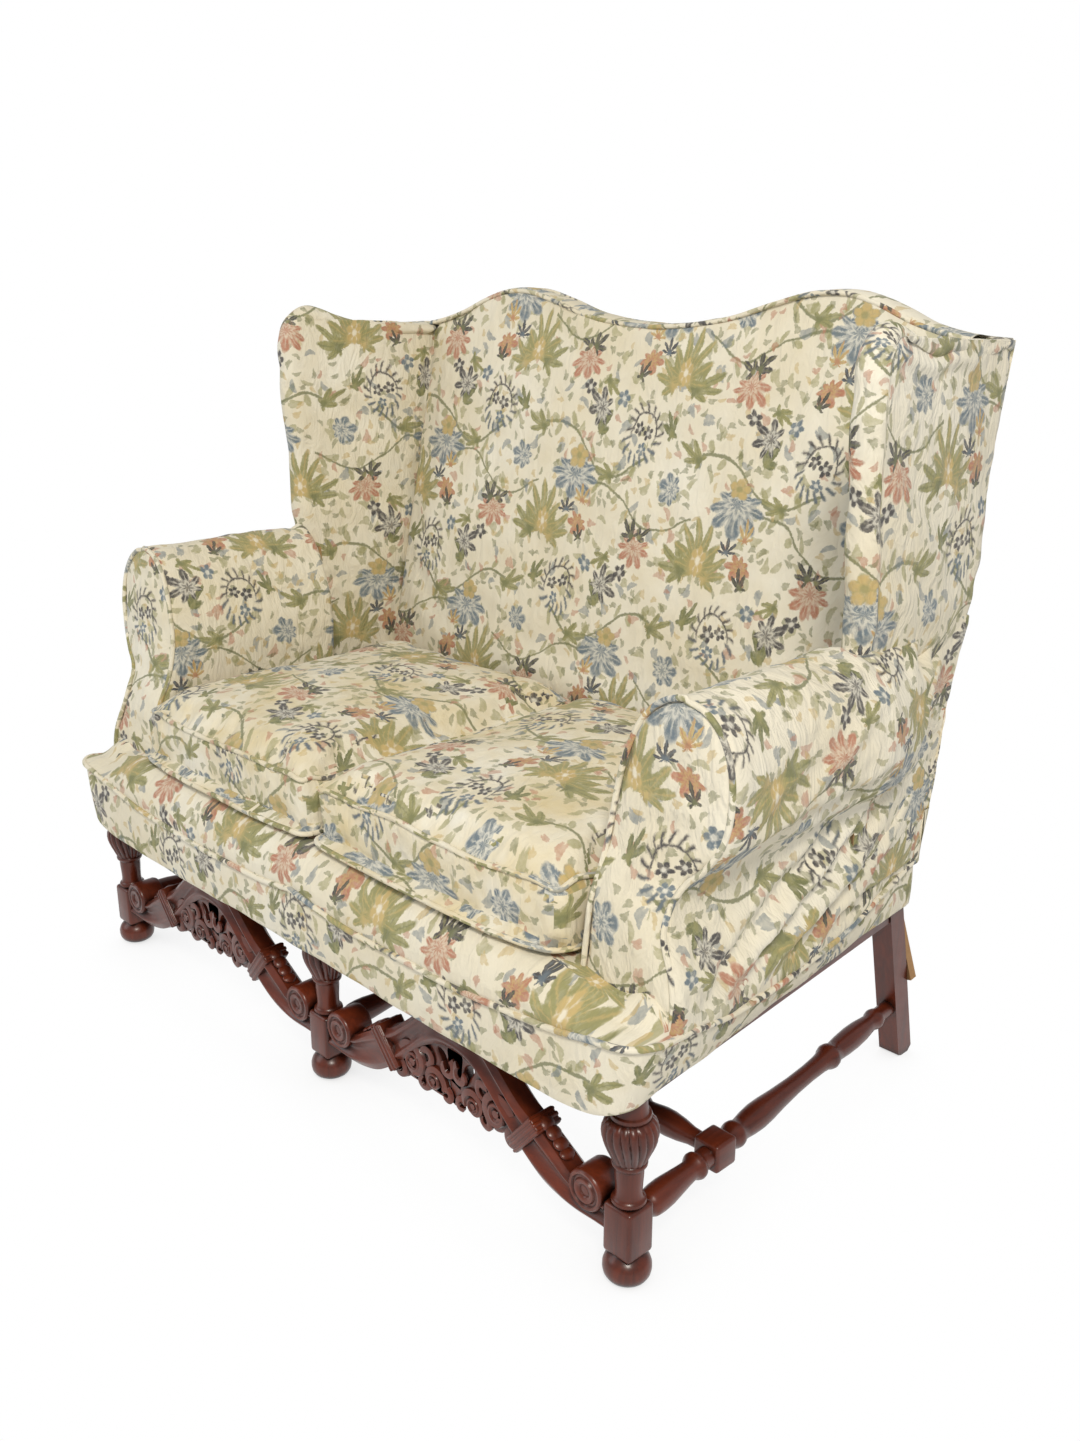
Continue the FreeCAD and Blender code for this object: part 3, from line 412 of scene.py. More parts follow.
@dataclass
class Tailor:
    """Gives the cloth its folds and its slack."""

    place: Place

    @staticmethod
    def _read(obj: Piece) -> tuple[Array, Array]:
        """Return an object's points and normals."""
        count = len(obj.data.vertices)
        spots = np.zeros(count * 3, np.float32)
        ways = np.zeros(count * 3, np.float32)
        obj.data.vertices.foreach_get("co", spots)
        obj.data.vertices.foreach_get("normal", ways)
        return spots.reshape(-1, 3).astype(float), ways.reshape(-1, 3).astype(float)

    @staticmethod
    def _write(obj: Piece, spots: Array) -> None:
        """Put moved points back."""
        obj.data.vertices.foreach_set("co", spots.astype(np.float32).ravel())
        obj.data.update()

    def press(self, obj: Piece, folds: Sequence[Fold], hand: int = 1) -> None:
        """Press folds into a piece of cloth.

        Args:
            obj: The piece.
            folds: The folds of the right hand, a positive depth going in and a negative one out.
            hand: The hand that they are pressed on.
        """
        spots, ways = self._read(obj)
        move = np.zeros(len(spots))
        for fold in folds:
            knots = np.array([self.place.point(x * hand, y, z) for x, y, z in fold.path])
            marks = np.linspace(0, len(knots) - 1, 40)
            line = np.stack([along(marks, list(enumerate(knots[:, k]))) for k in range(3)], axis=-1)
            gap = np.full(len(spots), 9.0)
            taper = np.zeros(len(spots))
            for i, mark in enumerate(line):
                far = np.linalg.norm(spots - mark, axis=1)
                near = far < gap
                gap[near] = far[near]
                taper[near] = min(1.0, 5.0 * min(i + 1, len(line) - i) / len(line))
            share = gap / (fold.width * MM)
            dip = np.exp(-share**2) - fold.lip * np.exp(-(share - 1.9)**2 * 1.6)
            move -= fold.depth * MM * taper * dip
        self._write(obj, spots + ways * move[:, None])

    def clear_of(self, obj: Piece, nodes: Sequence[str], gap: float = 3.0) -> None:
        """Lift the cloth off the frame wood that it covers.

        Args:
            obj: The piece.
            nodes: The frame's nodes under it.
            gap: The least padding in millimetres.
        """
        spots, ways = self._read(obj)
        lift = np.zeros(len(spots))
        for name in nodes:
            wood = bpy.data.objects.get(name)
            low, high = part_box(name)
            near = np.all((spots > np.array(low) - gap * MM) & (spots < np.array(high) + gap * MM), axis=1)
            for i in np.flatnonzero(near):
                out = Vector(ways[i])
                hit, spot, way, _ = wood.ray_cast(Vector(spots[i]), out)
                if hit and way.dot(out) > 0:
                    far = (spot - Vector(spots[i])).length
                    if far < 0.025:
                        lift[i] = max(lift[i], far + gap * MM)
        self._write(obj, spots + ways * lift[:, None])

    def slacken(self, obj: Piece, height: float, size: Point, seed: float,
                twist: float = 0.0) -> None:
        """Let the cloth ride up and down a little all over.

        Args:
            obj: The piece.
            height: How far the cloth moves either way, in millimetres.
            size: The length of a ripple along X, Y and Z, in millimetres.
            seed: Which of the many ripple fields is used.
            twist: Turn of the ripples about X in degrees.
        """
        spots, ways = self._read(obj)
        turn = np.array(Matrix.Rotation(math.radians(twist), 3, "X"))
        scaled = (spots @ turn.T) / (np.array(size) * MM) + seed
        rise = np.array([noise.noise(Vector(p)) for p in scaled])
        self._write(obj, spots + ways * (rise * height * MM)[:, None])


@dataclass
class Plan:
    """The settee's plan, which tapers from the front to the back."""

    half_hem: float = 630.0
    half_welt: float = 656.0
    half_back: float = 578.0
    front_hem: float = -54.0
    front_welt: float = -52.0
    back_hem: float = 624.0
    back_welt: float = 627.0
    front_corner: float = 46.0
    back_corner: float = 12.0
    front_rise: Knots = (
        (0, 318), (60, 309), (180, 304), (300, 305), (430, 312), (530, 325), (600, 338), (660, 344))
    side_rise: Knots = (
        (-60, 345), (0, 337), (69, 324), (143, 310), (221, 303), (303, 302), (440, 308), (545, 326), (640, 342))
    hem_rise: Knots = (
        (0, 233), (470, 234), (540, 237), (600, 246), (635, 255), (660, 259))

    def outline(self, share: float, inset: float, count: int) -> tuple[Array, Array, Array]:
        """Return the plan's outline as evenly spaced points.

        Args:
            share: 0 for the hem and 1 for the welt.
            inset: How far inside the outline the points lie.
            count: How many points, the first and last the same.

        Returns:
            X, Y and the length run, from the middle of the back round by the right side.
        """
        half = self.half_hem + (self.half_welt - self.half_hem) * share - inset
        front = self.front_hem + (self.front_welt - self.front_hem) * share + inset
        rear = self.back_hem + (self.back_welt - self.back_hem) * share - inset
        tail = self.half_back - inset
        corners = [((0, rear), 0), ((tail, rear), max(self.back_corner - inset, 4)),
                   ((half, front), max(self.front_corner - inset, 10)),
                   ((-half, front), max(self.front_corner - inset, 10)),
                   ((-tail, rear), max(self.back_corner - inset, 4)), ((0, rear), 0)]
        spots = [corners[0][0]]
        for (before, _), (here, radius), (after, _) in zip(corners, corners[1:], corners[2:]):
            into = np.array(before, float) - here
            out = np.array(after, float) - here
            into /= np.linalg.norm(into)
            out /= np.linalg.norm(out)
            half_turn = math.acos(float(np.clip(into.dot(out), -1, 1))) / 2
            spots += bend(before, here, after, radius / math.tan(half_turn))
        spots.append(corners[-1][0])
        line = np.array(spots)
        run = travel(line)
        even = np.linspace(0, run[-1], count)
        return np.interp(even, run, line[:, 0]), np.interp(even, run, line[:, 1]), even

    def welt_height(self, x: Array, y: Array) -> Array:
        """Return the height of the piping at points of the plan."""
        front = along(np.abs(x), self.front_rise)
        side = along(y, self.side_rise)
        blend = ease(y, -40, -8)
        return front * (1 - blend) + side * blend

    def hem_height(self, x: Array, y: Array) -> Array:
        """Return the height of the hem at points of the plan."""
        front = along(np.abs(x), self.hem_rise)
        side = 259 + 12 * ease(y, 20, 560)
        blend = ease(y, -30, 30)
        return front * (1 - blend) + side * blend


@dataclass
class SeatCover:
    """The cover round the seat: the hanging band, the deck with its lip, and their piping."""

    bench: Bench
    tailor: Tailor
    plan: Plan
    wall: float = 4.0
    cord: float = 4.2

    def band(self) -> Piece:
        """Return the band that hangs from the piping, turned up inside its hem."""
        count = 560
        low_x, low_y, run = self.plan.outline(0, 0, count + 1)
        top_x, top_y, _ = self.plan.outline(1, 0, count + 1)
        wave = (np.sin(run / 41) + 0.7 * np.sin(run / 17.3 + 1) + 0.5 * np.sin(run / 97 + 2)) * 0.6
        wave[-1] = wave[0]

        def shape(u: Array, v: Array) -> Laid:
            """Return the band's surface, up the inside and then up the outside."""
            index = np.clip(np.rint(u * count).astype(int), 0, count)
            lx, ly, tx, ty = low_x[index], low_y[index], top_x[index], top_y[index]
            hem = self.plan.hem_height(lx, ly)
            welt = self.plan.welt_height(tx, ty) + 4
            rise = np.abs(v * 2 - 1)
            inside = v < 0.5
            ends = (v < 0.001) | (v > 0.999)
            z = hem + (welt - hem) * rise
            x = lx + (tx - lx) * rise
            y = ly + (ty - ly) * rise
            length = np.hypot(x, y - 285) + 1e-6
            fold = np.where(inside, self.wall, 0.0) * ease(rise, 0, 0.03)
            puff = 2.5 * np.sin(math.pi * np.clip(rise, 0, 1)) + wave[index] * (1.3 - rise) * 1.4
            puff = np.where(inside | ends, 0.4 * puff, puff) - 2 * (1 - ease(rise, 0, 0.05))
            shift = (puff - fold) / length
            return x + x * shift, y + (y - 285) * shift, z, run[index], z

        obj = self.bench.cloth("cover_band", count, 44, shape)
        obj = self.bench.join("cover_band", [obj], 0.0002)
        return self.bench.smooth(self.bench.seal(obj, bridge=True), 80)

    def cut(self) -> Pair:
        """Return the length and the height that the band was cut to, in metres."""
        x, y, run = self.plan.outline(0.5, 0, 400)
        height = self.plan.welt_height(x, y) + 4 - self.plan.hem_height(x, y)
        return float(run[-1]) * MM, float(height.mean()) * MM

    def deck(self) -> Piece:
        """Return the padded seat platform with the lip that runs under the cushions."""
        count = 480
        levels = ((40.0, -10.0), (3.0, -8.0), (0.0, 0.0), (-1.5, 12.0), (-1.0, 24.0))
        rings = []
        for inset, lift in levels:
            x, y, _ = self.plan.outline(1, max(inset, 0.5), count + 1)
            corner = 1 - 0.8 * ease(np.abs(x), 470, 600) * (lift > 0)
            z = self.plan.welt_height(x, y) + lift * corner
            if inset < 0:
                x, y = x * (1 - inset / 650), y + np.where(y < 0, inset, 0)
            rings.append((x, y, z))
        for inset, height in ((4.0, 343.0), (9.0, 353.0), (20.0, 366.0), (34.0, 374.0), (48.0, 377.0),
                              (120.0, 377.5), (200.0, 377.0)):
            x, y, _ = self.plan.outline(1, inset, count + 1)
            front = ease(-y, -20, 20)
            welt = self.plan.welt_height(x, y)
            rise = (height - 305) * (1 - 0.72 * ease(np.abs(x), 470, 600))
            z = (welt + rise * np.clip((377 - welt) / 72, 0.3, 1)) * front + (1 - front) * min(height, 376)
            z = np.minimum(z, 377)
            rings.append((x, y, z))
        x, y, _ = rings[-1]
        rings.append((x * 0.6, 285 + (y - 285) * 0.02, 0 * x + 377))
        stack = np.array(rings)

        def shape(u: Array, v: Array) -> Laid:
            """Return the deck's surface from under the piping to its middle."""
            index = np.clip(np.rint(u * count).astype(int), 0, count)
            place = v * (len(rings) - 1)
            low = np.clip(place.astype(int), 0, len(rings) - 2)
            part = place - low
            spot = stack[low, :, index] * (1 - part)[:, None] + stack[low + 1, :, index] * part[:, None]
            px, py, pz = spot.T
            return px, py, pz, px, np.where(py < 10, pz + 80, py + 400)

        obj = self.bench.cloth("seat_deck", count, 48, shape)
        return self.bench.smooth(self.close("seat_deck", obj), 80)

    def close(self, name: str, obj: Piece) -> Piece:
        """Merge a swept piece's seam and fill its open ends."""
        obj = self.bench.seal(self.bench.join(name, [obj], 0.0002))
        bpy.ops.object.mode_set(mode="EDIT")
        bpy.ops.mesh.select_all(action="SELECT")
        bpy.ops.mesh.normals_make_consistent(inside=False)
        bpy.ops.object.mode_set(mode="OBJECT")
        return obj

    def piping(self) -> Piece:
        """Return the cord sewn between the band and the deck's lip."""
        x, y, _ = self.plan.outline(1, -1.6, 700)
        z = self.plan.welt_height(x, y) + 3 + 0.8 * np.sin(x / 31) + 0.5 * np.sin(y / 23)
        path = np.stack([x, y, z], axis=-1)[:-1]
        return self.bench.tube("seat_piping", path, self.cord, 10, closed=True)


@dataclass
class ArmSizes:
    """The arm's section and the lean of its front panel, measured from its inner face."""

    inner: float = 500.0
    back: float = 403.0
    rear: float = 634.0
    lean: Knots = (
        (330, 17), (345, 20), (400, 27), (455, 36), (500, 57), (540, 68), (620, 76), (720, 84))
    inside: Knots = (
        (0, 338), (0, 400), (0, 460), (-1, 520), (1, 566), (8, 606), (20, 645), (39, 678), (66, 699), (97, 706))
    outside: Knots = (
        (152, 318), (150, 345), (133, 390), (117, 440), (115, 478), (125, 503), (145, 524), (163, 556),
        (170, 600), (164, 643), (148, 675), (124, 696), (97, 703))
    rear_inside: Knots = (
        (84, 338), (84, 460), (84, 560), (84, 640), (84, 680), (90, 690), (97, 694))
    rear_outside: Knots = (
        (79, 335), (79, 345), (79, 390), (80, 440), (81, 478), (83, 510), (85, 540), (87, 570),
        (89, 610), (91, 650), (92, 676), (93, 690), (94, 694))


@dataclass
class Arm:
    """One scrolled arm with its front panel, its drop to the piping and its seams."""

    bench: Bench
    tailor: Tailor
    plan: Plan
    side: Side
    sizes: ArmSizes = field(default_factory=ArmSizes)

    @staticmethod
    def _even(knots: Sequence[Pair], share: Array) -> tuple[Array, Array]:
        """Return points at even lengths along a smooth run of knots."""
        marks = np.linspace(0, len(knots) - 1, 240)
        a = along(marks, [(i, k[0]) for i, k in enumerate(knots)])
        b = along(marks, [(i, k[1]) for i, k in enumerate(knots)])
        run = travel(np.stack([a, b], axis=-1))
        run /= run[-1]
        return np.interp(share, run, a), np.interp(share, run, b)

    def section(self, share: Array, depth: Array) -> tuple[Array, Array]:
        """Return the arm's section, with share 0 to 1 inside and 1 to 2 back down the outside.

        Args:
            share: Place round the section.
            depth: Distance back from the leg line.

        Returns:
            X and Z of the points.
        """
        up = np.clip(share, 0, 1)
        down = 1 - np.clip(share - 1, 0, 1)
        inner = share <= 1
        a0, z0 = self._even(self.sizes.inside, up)
        a1, z1 = self._even(self.sizes.outside, down)
        b0, w0 = self._even(self.sizes.rear_inside, up)
        b1, w1 = self._even(self.sizes.rear_outside, down)
        front_x, front_z = np.where(inner, a0, a1), np.where(inner, z0, z1)
        back_x, back_z = np.where(inner, b0, b1), np.where(inner, w0, w1)
        go = np.where(inner, ease(depth, self.sizes.back - 18, self.sizes.back + 30),
                      0.10 * ease(depth, 60, 330) + 0.90 * ease(depth, 385, self.sizes.rear + 20))
        foot = np.where(inner, 0.0, 1 - ease(front_z, 345, 450))
        taper = self.plan.half_welt - (self.plan.half_welt - self.plan.half_back) * (depth + 52) / 679
        x = self.sizes.inner + front_x * (1 - go) + back_x * go
        x = x * (1 - foot) + (taper + 1 + (x - self.sizes.inner - 150) * 0.1 * (1 - go)) * foot
        z = front_z * (1 - go) + back_z * go
        welt = self.plan.welt_height(taper, depth)
        low = 1 - ease(z, 330, 470)
        z = z + (welt - 318) * low * np.where(inner, 0, 1)
        return x, z

    def front(self, z: Array, x: Array) -> Array:
        """Return how far back the front panel stands at a height and a width."""
        out = np.clip((x - self.sizes.inner - 110) / 45, 0, 1)
        return along(z, self.sizes.lean) - 4 * out * (1 - ease(z, 360, 480))

    def mirror(self, x: Array) -> Array:
        """Return X on this hand."""
        return x * self.side.value

    def roll(self) -> Piece:
        """Return the arm's long surface, from the front seam to the back posts."""
        edge = 9.0

        def shape(u: Array, v: Array) -> Laid:
            """Return the arm's surface."""
            share = np.clip(u * 2.1, 0, 2)
            under = np.clip(u * 2.1 - 2, 0, 0.1) * 10
            cap = ease(v, 0.985, 1.0)
            v = np.clip(v / 0.985, 0, 1)
            probe_x, probe_z = self.section(share, 0 * v + 60)
            start = self.front(probe_z, probe_x)
            _, far_z = self.section(share, 0 * v + 600)
            run = v * (BackSizes().rear(far_z) - 2 - start)
            depth = start + run
            x, z = self.section(share, depth)
            around = travel(np.stack(self.section(np.linspace(0, 2, 201), np.full(201, 200.0)), axis=-1))
            girth = np.interp(share, np.linspace(0, 2, 201), around)
            turn = np.clip(1 - run / edge, 0, 1)
            draw = edge * (1 - np.sqrt(1 - turn**2)) * 0.7
            mid_x, mid_z = self.sizes.inner + 80, np.clip(z, 420, 610)
            x = x - np.sign(x - mid_x) * draw * np.where(np.abs(x - mid_x) > 25, 1, np.abs(x - mid_x) / 25)
            z = z - (z - mid_z) / (np.abs(z - mid_z) + 20) * draw
            depth = depth - 0.3 * edge * turn
            home_x, home_z = self.section(0 * share, depth)
            x, z = x + (home_x - x) * under, z + (home_z - z) * under
            x, z = x + (586 - x) * cap, z + (np.clip(z, 420, 640) - z) * cap
            return self.mirror(x), depth, z, -depth * self.side.value, girth

        return self.bench.cloth("arm_roll_" + self.side.word, 170, 150, shape)

    def panel(self) -> Piece:
        """Return the arm's flat front panel, a little puffed between its seams."""
        def shape(u: Array, v: Array) -> Laid:
            """Return the panel's surface."""
            left_x, left_z = self.section(v, 0 * v + 60)
            right_x, right_z = self.section(2 - v, 0 * v + 60)
            left_x, right_x = left_x + 5.5 * (1 - v), right_x - 5.5 * (1 - ease(v, 0.7, 1))
            top = ease(v, 0.75, 1)
            left_z, right_z = left_z - 5 * top, right_z - 5 * top
            x = left_x + (right_x - left_x) * u
            z = left_z + (right_z - left_z) * u
            puff = 9 * np.sin(math.pi * u)**0.7 * np.sin(math.pi * np.clip(v, 0.02, 0.98))**0.5
            y = self.front(z, x) - 0.3 * 9 - puff + 2
            return self.mirror(x), y, z, self.mirror(x), z

        return self.bench.cloth("arm_front_" + self.side.word, 40, 90, shape)

    def cover(self) -> Piece:
        """Return the arm's cover, its panel sewn to its roll and its hidden ends closed."""
        roll = self.roll()
        folds = [
            Fold(((660, 40, 512), (664, 120, 518), (663, 230, 524), (648, 330, 536), (628, 440, 560)), 14, 9),
            Fold(((668, 60, 585), (668, 150, 600), (662, 240, 622), (650, 330, 650)), 16, 4.5),
            Fold(((640, 60, 350), (628, 170, 400), (614, 300, 450), (606, 400, 500)), 13, 11),
            Fold(((630, 150, 340), (616, 270, 385), (606, 400, 440), (598, 520, 520)), 13, 12, 0.5),
            Fold(((616, 260, 330), (606, 380, 370), (600, 500, 430), (596, 600, 500)), 13, 11, 0.5),
            Fold(((604, 380, 330), (600, 470, 350), (594, 560, 385), (590, 620, 410)), 11, 6, 0.5),
            Fold(((606, 470, 560), (602, 540, 610), (600, 610, 670)), 13, 11, 0.5),
            Fold(((650, 320, 560), (625, 400, 600), (606, 500, 650), (602, 580, 680)), 13, 11, 0.5),
            Fold(((665, 120, 560), (655, 220, 590), (640, 320, 640), (630, 400, 680)), 13, 8, 0.5),
            Fold(((612, 420, 470), (602, 520, 560), (598, 600, 600)), 12, 10, 0.5),
            Fold(((624, 60, 430), (632, 110, 390), (636, 160, 340)), 14, 3.5),
            Fold(((612, 400, 520), (604, 500, 500), (598, 600, 470)), 14, 3.5),
            Fold(((608, 420, 560), (602, 510, 590), (600, 600, 640)), 15, 3.5),
            Fold(((512, 190, 620), (505, 260, 580), (502, 330, 540)), 18, 2.6),
            Fold(((502, 130, 500), (502, 250, 470), (502, 360, 450)), 18, 2.4),
            Fold(((560, 120, 700), (575, 230, 701), (590, 330, 702)), 20, 2.0),
            Fold(((560, 385, 700), (600, 390, 702), (640, 395, 690), (662, 400, 640)), 10, 5),
        ]
        self.tailor.press(roll, folds, self.side.value)
        panel = self.panel()
        creases = [
            Fold(((505, 60, 520), (545, 58, 500), (590, 56, 492), (612, 55, 505)), 7, 3.5),
            Fold(((520, 60, 545), (570, 60, 560), (640, 62, 560)), 12, 2.0),
            Fold(((560, 80, 660), (600, 78, 620), (650, 76, 600)), 14, 2.2),
        ]
        self.tailor.press(panel, creases, self.side.value)
        obj = self.bench.join("arm_cover_" + self.side.word, [roll, panel], 0)
        self.tailor.slacken(obj, 4.4, (150, 110, 60), 3.1 + self.side.value, 40)
        self.tailor.slacken(obj, 2.4, (60, 60, 26), 9.1 + self.side.value, 40)
        word = self.side.word
        self.tailor.clear_of(obj, ["arm_board_" + word, "arm_rail_" + word, "wing_post_" + word, "back_post_" + word])
        obj = self.bench.join(obj.name, [obj], 0.0)
        return self.bench.smooth(obj, 70)

    def piping(self) -> Piece:
        """Return the cord round the front panel."""
        share = np.linspace(0.0, 2.0, 260)
        x, z = self.section(share, 0 * share + 60)
        y = self.front(z, x) - 2.5
        mid = self.sizes.inner + 80
        x = x - np.sign(x - mid) * 2.0
        path = np.stack([self.mirror(x), y, z - 1.0 * ease(z, 640, 700)], axis=-1)
        return self.bench.tube("arm_piping_" + self.side.word, path, 3.8, 10)


@dataclass
class BackSizes:
    """The lean of the back and its serpentine top."""

    face: Knots = (
        (365, 556), (420, 556), (470, 558), (560, 578), (660, 600), (760, 622), (900, 654), (1060, 686), (1100, 694),
        (1140, 702))
    humps: Knots = (
        (0, 1069), (80, 1074), (155, 1085), (230, 1106), (305, 1122), (360, 1120), (410, 1106), (462, 1086),
        (540, 1067), (617, 1061))
    half: float = 556.0
    rear_half: float = 592.0
    rear_hem: float = 338.0

    def rear(self, z: Array) -> Array:
        """Return how far back the outside back stands at a height."""
        return 622 + 0.149 * (np.asarray(z, float) - 300)

    def top(self, x: Array) -> Array:
        """Return the height of the top at a distance from the middle."""
        return along(np.abs(x), self.humps)


@dataclass
class Back:
    """The inside and outside of the back with the band and piping between them."""

    bench: Bench
    tailor: Tailor
    sizes: BackSizes = field(default_factory=BackSizes)

    def inside(self) -> Piece:
        """Return the padded back, from under the cushions over its top to its rear."""
        sizes = self.sizes
        rim = 11.0

        def shape(u: Array, v: Array) -> Laid:
            """Return the back's surface, up the face, over the band and down the rear."""
            x = (u * 2 - 1) * sizes.half
            top = sizes.top(x) - 1
            up = np.clip(v / 0.62, 0, 1)
            z_face = 366 + (top - rim - 366) * up
            y_face = along(z_face, sizes.face)
            edge = 1 - ease(np.abs(x), sizes.half - 90, sizes.half)
            swell = 13 * np.sin(math.pi * np.clip((z_face - 380) / 700, 0, 1))**0.8 * (0.35 + 0.65 * edge)
            sink = 16 * ease(np.abs(x), sizes.half - 26, sizes.half)
            y_face = y_face - swell + sink
            over = np.clip((v - 0.62) / 0.14, 0, 1)
            y_top = along(top - rim, sizes.face)
            y_rear = sizes.rear(top) - 5
            centre = (y_top + y_rear) / 2
            reach = (y_rear - y_top) / 2
            angle = math.pi * over
            y_over = centre - reach * np.cos(angle)
            z_over = top - rim + rim * np.sin(angle)**0.7
            down = np.clip((v - 0.76) / 0.24, 0, 1)
            z_down = (top - rim) * (1 - down) + 366 * down
            y_down = sizes.rear(z_down) - 5
            y = np.where(v < 0.62, y_face, np.where(v < 0.76, y_over, y_down))
            z = np.where(v < 0.62, z_face, np.where(v < 0.76, z_over, z_down))
            lengths = np.where(v < 0.62, z_face, np.where(v < 0.76, top - rim + over * 42, top + 40 + down * 700))
            return x, y, z, x, lengths

        obj = self.bench.cloth("inside_back", 200, 220, shape)
        folds = [
            Fold(((-500, 575, 640), (-430, 585, 560), (-330, 585, 500)), 20, 4),
            Fold(((-515, 590, 720), (-470, 610, 650), (-420, 600, 600)), 16, 3),
            Fold(((500, 600, 760), (440, 590, 640), (330, 580, 520)), 20, 4),
            Fold(((-300, 590, 540), (0, 585, 520), (300, 590, 535)), 26, 3),
            Fold(((-200, 700, 1062), (-150, 690, 1010), (-130, 680, 960)), 18, 2.5),
            Fold(((150, 700, 1062), (110, 690, 1020), (90, 680, 960)), 18, 2.5),
        ]
        self.tailor.press(obj, folds)
        self.tailor.slacken(obj, 4.6, (190, 200, 110), 2.4, 15)
        self.tailor.slacken(obj, 2.0, (60, 60, 36), 7.7, 15)
        self.tailor.clear_of(obj, ["back_top_rail", "back_post_left", "back_post_right", "back_post_middle"])
        obj = self.bench.join("inside_back", [obj], 0)
        return self.bench.smooth(obj, 75)

    def outside(self) -> Piece:
        """Return the plain outside back, a thin wall of cover that hangs down the rear."""
        sizes = self.sizes

        def shape(u: Array, v: Array) -> Laid:
            """Return both faces of the wall, pinched together along its edges."""
            rise = np.abs(v * 2 - 1)
            pinch = np.sqrt(np.clip((1 - np.abs(u * 2 - 1)) * 30, 0, 1) * np.clip((1 - rise) * 30, 0, 1))
            x = (u * 2 - 1) * (sizes.rear_half - 14 * rise)
            z = (sizes.top(x) - 6) * (1 - rise) + sizes.rear_hem * rise
            y = sizes.rear(z) - 1 + np.where(v < 0.5, -2.5, 2.5) * pinch * ease(rise, 0, 0.03)
            return x, y, z, x, z

        obj = self.bench.join("outside_back", [self.bench.cloth("outside_back", 120, 160, shape)], 0.0002)
        self.tailor.slacken(obj, 2.0, (160, 200, 130), 5.2)
        return self.bench.smooth(obj, 80)

    def cut(self) -> tuple[Pair, float]:
        """Return the width, the length and the area that the outside back was cut to, in metres."""
        half, hem = self.sizes.rear_half, self.sizes.rear_hem
        heights = self.sizes.top(np.linspace(0, half, 60)) - hem
        return (2 * half * MM, float(heights.max()) * MM), 2 * half * float(heights.mean()) * MM * MM

    def piping(self, name: str, rear: bool) -> Piece:
        """Return the cord along one edge of the top band.

        Args:
            name: The cord's name.
            rear: Whether it runs along the rear edge.

        Returns:
            The cord.
        """
        x = np.linspace(-598, 598, 420)
        top = self.sizes.top(x)
        if rear:
            x = x * 0.985
            y, z = self.sizes.rear(top) - 5, top - 6
        else:
            inner = np.clip(x, -552, 552)
            y, z = along(top - 9, self.sizes.face) - 1, top - 7
            x = inner
        return self.bench.tube(name, np.stack([x, y + 0 * x, z], axis=-1), 3.8, 10)


@dataclass
class WingSizes:
    """The wing's side outline and its place across the settee."""

    front_x: Pair = (572.0, 617.0)
    rear_x: Pair = (550.0, 590.0)
    rim: Knots = (
        (398, 350), (394, 480), (390, 600), (387, 690), (386, 745), (384, 810), (379, 900), (375, 980), (377, 1035),
        (388, 1067), (407, 1084), (430, 1089), (456, 1083), (485, 1073), (530, 1064), (580, 1061), (640, 1060),
        (700, 1060), (726, 1060))
    round: float = 20.0


